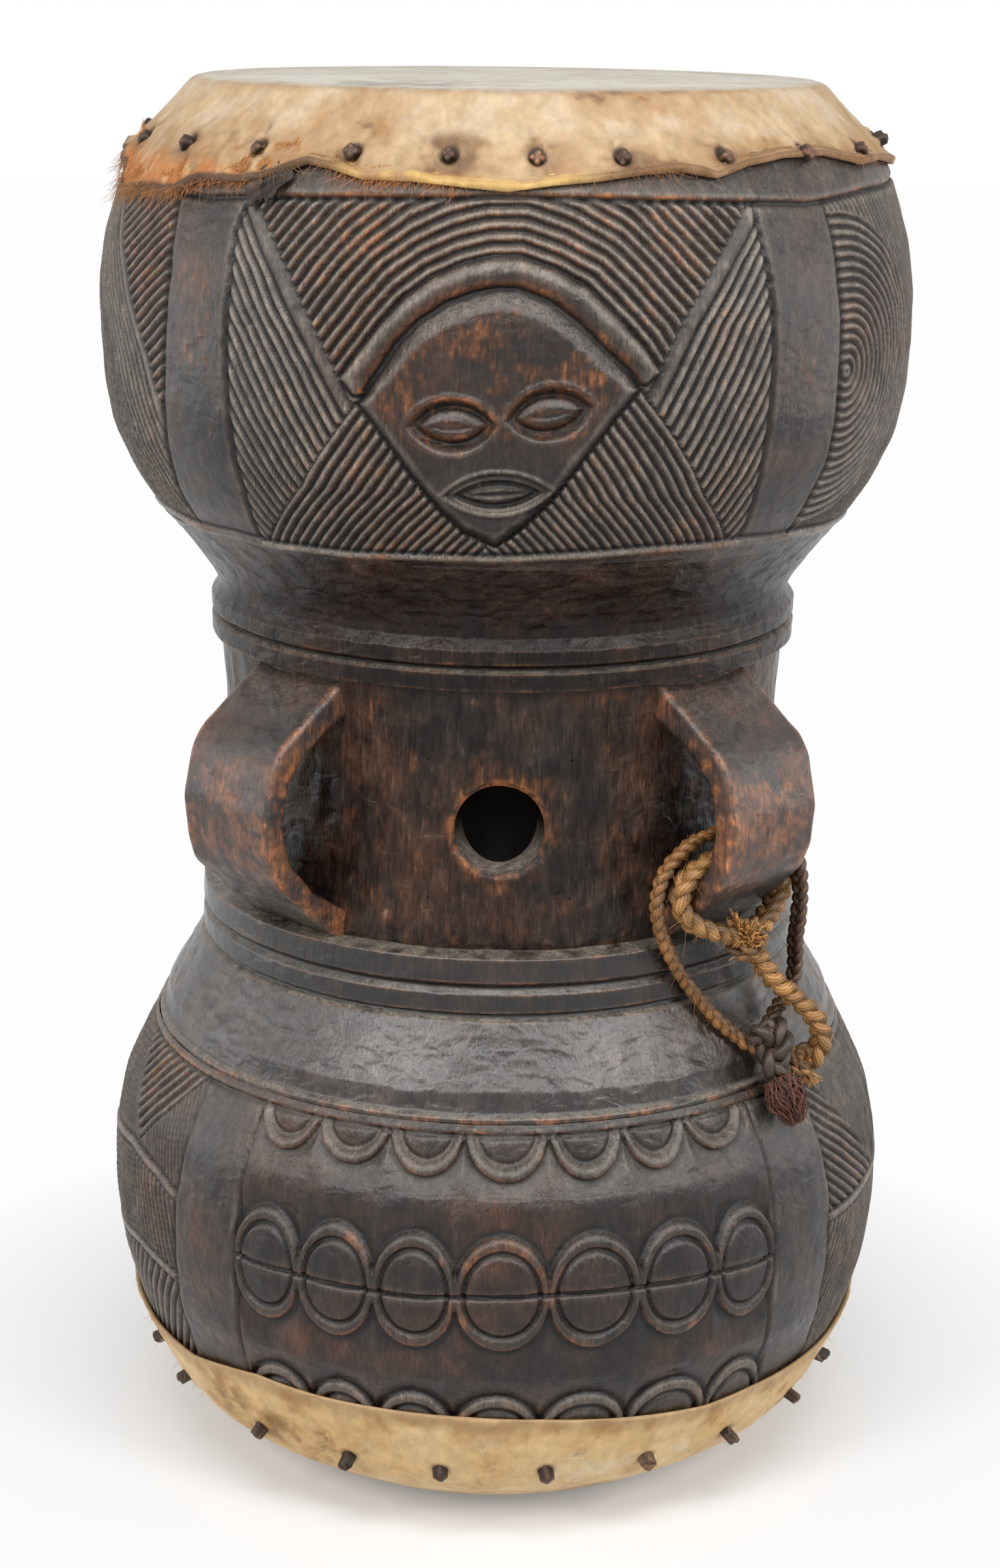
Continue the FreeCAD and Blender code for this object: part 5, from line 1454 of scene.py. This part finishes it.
strands = Strands()
whiskers(strands, ring_line, 90, 7, 0.45, GOLD, 21, 3.4, 0.17)
whiskers(strands, tail_line, 70, 7, 0.45, GOLD, 23, 3.4, 0.17)
whiskers(strands, sling_line, 130, 5, 0.5, AMBER, 22, 2.2, 0.14)
finish(strands.build("rope_whiskers"), fibre, "plait")


def knot_line(centre, size, aim):
    """A closed overhand knot's line in mm: size is (across, across, along aim)."""
    t = np.linspace(0, 2 * np.pi, 220)
    x, y, z = np.sin(t) + 2 * np.sin(2 * t), np.cos(t) - 2 * np.cos(2 * t), -np.sin(3 * t)
    p = np.stack([x / 3 * size[0] / 2, z * size[1] / 2, y / 3 * size[2] / 2], -1)
    aim = unit(np.array(aim, float))
    across = unit(np.cross(aim, (0.0, 1.0, 0.0)))
    deep = np.cross(aim, across)
    return np.array(centre) + p[:, :1] * across + p[:, 1:2] * deep + p[:, 2:] * aim


def hoop(centre, axis, radius, stretch, wave):
    """A closed ring of points round an axis."""
    axis = unit(np.array(axis, float))
    side = unit(np.cross(axis, (0.1, 0.2, 1.0)))
    up = np.cross(axis, side)
    t = np.linspace(0, 2 * np.pi, 90)[:, None]
    return np.array(centre) + radius * (side * np.cos(t) + stretch * up * np.sin(t)) + axis * wave * np.sin(2 * t)


def wound(strands, line, cord, colour, plait, seed):
    """Rope laid along a closed line, as one turn of a knot."""
    run = run_of(line)
    s = np.linspace(0, run[-1], int(run[-1] / ROPE_STEP))
    line = at_runs(s, run, line)
    if plait:
        places = plaited(s, cord * 0.28, cord * 0.15, cord * 2.4)
        laid(strands, line, s, places, cord * 0.5, colour, 8, 32, 2.3, seed)
    else:
        laid(strands, line, s, twisted(s, cord * 0.24, cord * 2.2), cord * 0.56, colour, 9, 32, 2.3, seed)
    return line


def straws(strands, centre, axis, count, spread, reach, long, colour, seed, thick=0.3):
    """Cut ends of straw that stand out of a knot."""
    gen = np.random.default_rng(seed)
    axis = unit(np.array(axis, float))
    t = np.linspace(0, 1, 5)[:, None]
    for _ in range(count):
        way = unit(axis + gen.normal(0, spread, 3))
        start = np.array(centre) + gen.normal(0, reach, 3)
        size = long * gen.uniform(0.6, 1.15)
        path = start + way * size * t + gen.normal(0, 0.9, 3) * t ** 2
        width = thick * gen.uniform(0.6, 1.2) * np.array([1, 1, 0.95, 0.9, 0.8])
        strands.tube(path, width, 5, (*(colour * gen.uniform(0.45, 1.5)), 0.5))


# Frayed knot that closes the ring: two turns of plait round cut ends of straw
strands = Strands()
middle = np.array([104, -108.5, 263.0])
wound(strands, hoop(middle, (-0.1, -0.9, 0.35), 5.9, 0.95, 0.8), 6.6, GOLD * 0.85, True, 31)
wound(strands, hoop(middle + (0.5, 1.2, -1.2), (0.75, -0.2, 0.75), 5.4, 1.0, 0.6), 6.4, GOLD * 0.7, True, 32)
straws(strands, middle + (0, -1.0, 0.5), (-0.15, -0.75, 0.65), 190, 0.42, 1.9, 8.6, GOLD, 33)
straws(strands, middle + (-3, 0, 4), (-0.5, -0.3, 0.9), 26, 0.3, 1.0, 9.5, GOLD * 1.2, 34, 0.26)
frayed = finish(strands.build("frayed_knot_rope"), fibre, "plait", "frayed_knot")

# Knot at the end of the plait
strands = Strands()
middle = np.array([132.5, -91.5, 202.5])
wound(strands, hoop(middle + (-0.5, -0.5, 0.5), (0.35, -0.9, 0.2), 3.6, 1.25, 0.8), 6.2, GOLD * 0.85, True, 35)
wound(strands, hoop(middle + (0.5, 0.6, -2.2), (0.7, -0.3, 0.7), 2.9, 1.0, 0.4), 5.2, GOLD * 0.75, True, 36)
straws(strands, middle + (1, -1, -5), (0.6, -0.1, -0.8), 60, 0.4, 1.5, 5.0, GOLD, 37)
end_knot = finish(strands.build("plait_end_knot_rope"), fibre, "plait", "plait_end_knot")

# Dark cord tied round both
strands = Strands()
dark_line = wound(strands, knot_line((116.2, -107.8, 215.2), (13.5, 9.0, 22.5), (-0.3, 0.1, 1.0)), 8.4, PURPLE, False, 38)
whiskers(strands, dark_line, 150, 4.5, 0.8, PURPLE * 1.6, 39, 2.7, 0.12)
dark = finish(strands.build("dark_knot_cord"), fibre, "dark_cord", "dark_knot")

# Tassel under the dark knot
gen = np.random.default_rng(35)
aim = unit(np.array([0.45, -0.40, -0.80]))
start = np.array([117, -107.5, 205.0]) + 5.0 * aim
across = unit(np.cross(aim, UP))
deep = np.cross(aim, across)
strands = Strands()
t = np.linspace(0, 1, 12)
body = 5.4 + 3.2 * np.sin(np.pi * np.clip(t * 0.95, 0, 1)) - 3.0 * t ** 4
for _ in range(300):
    turn, far = gen.uniform(0, 2 * np.pi), math.sqrt(gen.uniform(0, 1))
    size = 20 * gen.uniform(0.75, 1.05)
    curl = gen.uniform(0.5, 1.5) * np.sin(t * gen.uniform(6, 14) + gen.uniform(0, 6))
    curl2 = gen.uniform(0.5, 1.5) * np.cos(t * gen.uniform(6, 14) + gen.uniform(0, 6))
    line = start + aim * (t * size)[:, None] + across * (far * body * math.cos(turn) + curl)[:, None]
    line = line + deep * (far * body * math.sin(turn) + curl2)[:, None]
    strands.tube(line, np.linspace(0.42, 0.22, 12), 5, (*(MAROON * gen.uniform(0.55, 1.6)), 0.6))
tassel = finish(strands.build("dark_tassel_fibres"), fibre, "dark_cord", "dark_tassel")

# Pale fibres that hang from the end knot
strands = Strands()
t = np.linspace(0, 1, 10)
for _ in range(60):
    origin = np.array([123.5, -102, 200]) + gen.normal(0, 2.4, 3)
    drift = np.array([gen.uniform(-6, 9), gen.uniform(-5, 2), -gen.uniform(9, 24)])
    curl = np.stack([np.sin(t * gen.uniform(3, 8) + gen.uniform(0, 6)), np.cos(t * gen.uniform(3, 8)), 0 * t], -1)
    line = origin + drift * t[:, None] + curl * gen.uniform(0.5, 2.2) * t[:, None]
    strands.tube(line, np.linspace(0.24, 0.10, 10), 3, (*(STRAW * gen.uniform(0.6, 1.2)), 0.6), capped=False)
finish(strands.build("pale_wisps"), fibre, "plait")


# Hairs on the skins
def hairs(name, spots, colour, seed, long, lying=0.0):
    """Hairs on a skin at each (angle, height, radius); lying is 1 where they lie down along it."""
    gen = np.random.default_rng(seed)
    strands = Strands()
    f = np.linspace(0, 1, 6)[:, None]
    for theta, z, r in spots:
        t = math.radians(theta)
        out, side = np.array([math.sin(t), -math.cos(t), 0]), np.array([math.cos(t), math.sin(t), 0])
        way = (out * gen.uniform(0.25, 0.9) + side * gen.normal(0, 0.7)) * (1 - lying)
        way = way - UP * gen.uniform(0.2 + 0.6 * lying, 1.0)
        way = way + side * lying * gen.normal(-0.25, 0.35) + out * lying * gen.uniform(0.25, 0.6)
        size = long * gen.uniform(0.4, 1.2)
        path = shell(np.array(theta), np.array(z), np.array(r)) + way * f * size + gen.normal(0, 0.25, 3) * f ** 2 * size
        tone = (*(np.array(colour) * gen.uniform(0.6, 1.3)), 0.6)
        strands.tube(path, 0.12 * np.linspace(1, 0.3, 6), 3, tone, capped=False)
    finish(strands.build(name), fibre, "hide")


def edge_at(a):
    """Height of the upper skin's edge at one angle."""
    return float(top_edge(np.array([a]))[0])


TUFTS = (-70, -63, -57, -45, -30, 20, 60, 140, 200)
TUFT_SHARES = (0.2, 0.16, 0.12, 0.12, 0.08, 0.08, 0.08, 0.08, 0.08)
gen = np.random.default_rng(44)
spots = []
for _ in range(420):
    a = gen.choice(TUFTS, p=TUFT_SHARES) + gen.normal(0, 5)
    z = edge_at(a) + gen.uniform(-0.5, 4)
    spots.append((a, z, 163.5 + (574 - z) * 0.55 + 1.5))
hairs("skin_hairs_top", spots, (0.30, 0.13, 0.045), 45, 7.0)

wall_r, wall_z = np.array(TOP_PATH[13:7:-1]).T
spots = []
for _ in range(2600):
    a = gen.uniform(-82, -31) if gen.uniform() < 0.85 else gen.normal(-14, 5)
    z = edge_at(a) + gen.uniform(0.5, 13) * (1 if a < -31 else 0.4)
    spots.append((a, z, float(np.interp(z, wall_z, wall_r)) + 0.9))
hairs("skin_fur", spots, (0.50, 0.20, 0.055), 47, 6.0, lying=1.0)

wall_z, wall_r = [30.5, 36.5, 44, 53, 61, 68], [150.8, 154.4, 158.6, 163, 166.6, 169]
spots = []
for _ in range(260):
    a, z = gen.uniform(-180, 180), gen.uniform(30, 66)
    spots.append((a, z, float(np.interp(z, wall_z, wall_r))))
hairs("skin_hairs_bottom", spots, (0.55, 0.42, 0.25), 46, 5.0)


# Floor, light and background
def or_bounced(tree, seen, rays):
    """1 as well for the rays that shiny and clear surfaces send."""
    seen = sum_of(tree, seen, rays["Is Glossy Ray"], "MAXIMUM")
    return sum_of(tree, seen, rays["Is Transmission Ray"], "MAXIMUM")


floor_data = bpy.data.meshes.new("floor")
floor_data.from_pydata([(-8, -8, 0), (8, -8, 0), (8, 8, 0), (-8, 8, 0)], [], [(0, 1, 2, 3)])
floor = bpy.data.objects.new("floor", floor_data)
scene.collection.objects.link(floor)
paper, tree, shader = tree_of("floor_paper")
grain = add_noise(tree, add(tree, "TexCoord").outputs["Object"], (1, 1, 1), 3.0, 2.0)
white = blended(tree, "MIX", ranged(tree, grain, 0.3, 0.7, 0.0, 1.0), (0.705, 0.705, 0.71), (0.72, 0.72, 0.725))
tree.links.new(white, shader.inputs["Base Color"])
shader.inputs["Roughness"].default_value = 0.9
shader.inputs["Specular IOR Level"].default_value = 0.2
# Away from the drum the paper glows like the white behind it, so that no horizon shows
rays = add(tree, "LightPath").outputs
length = add(tree, "VectorMath")
length.operation = "LENGTH"
fill(tree, length, (0, add(tree, "NewGeometry").outputs["Position"]))
far = ranged(tree, length.outputs["Value"], 0.13, 0.34, 0.22, 1.0)
glow = add(tree, "Emission", Color=(0.985, 0.985, 0.985, 1.0))
both = add(tree, "MixShader")
seen = or_bounced(tree, sum_of(tree, far, rays["Is Camera Ray"], "MULTIPLY"), rays)
fill(tree, both, (0, seen), (1, shader.outputs[0]), (2, glow.outputs[0]))
out = next(node for node in tree.nodes if node.type == "OUTPUT_MATERIAL")
tree.links.new(both.outputs[0], out.inputs[0])
floor_data.materials.append(paper)

world = bpy.data.worlds.new("studio")
scene.world = world
world.use_nodes = True
tree = world.node_tree
tree.nodes.clear()
out = add(tree, "OutputWorld")
soft = add(tree, "Background", Color=(0.97, 0.985, 1.0, 1.0), Strength=0.34)
white = add(tree, "Background", Color=(1.0, 1.0, 1.0, 1.0), Strength=1.0)
pick = add(tree, "MixShader")
rays = add(tree, "LightPath").outputs
seen = or_bounced(tree, rays["Is Camera Ray"], rays)
fill(tree, pick, (0, seen), (1, soft.outputs[0]), (2, white.outputs[0]))
tree.links.new(pick.outputs[0], out.inputs[0])


def lamp(name, place, aim, size, power):
    data = bpy.data.lights.new(name, "AREA")
    data.shape = "RECTANGLE"
    data.size, data.size_y = size
    data.energy = power
    light = bpy.data.objects.new(name, data)
    scene.collection.objects.link(light)
    light.location = place
    light.rotation_euler = (Vector(aim) - Vector(place)).to_track_quat("-Z", "Y").to_euler()


lamp("key_left", (-1.3, -1.6, 1.62), (0, 0, 0.35), (0.6, 0.8), 31)
lamp("key_right", (1.4, -1.5, 1.58), (0, 0, 0.35), (0.6, 0.8), 29)
lamp("overhead", (0.05, -1.15, 2.15), (0, -0.1, 0.3), (1.3, 0.4), 24)
lamp("strip_left", (-1.9, 0.2, 0.5), (0, 0, 0.35), (0.35, 0.9), 7)
lamp("strip_right", (1.9, 0.2, 0.5), (0, 0, 0.35), (0.35, 0.9), 7)

scene.view_settings.view_transform = "Standard"
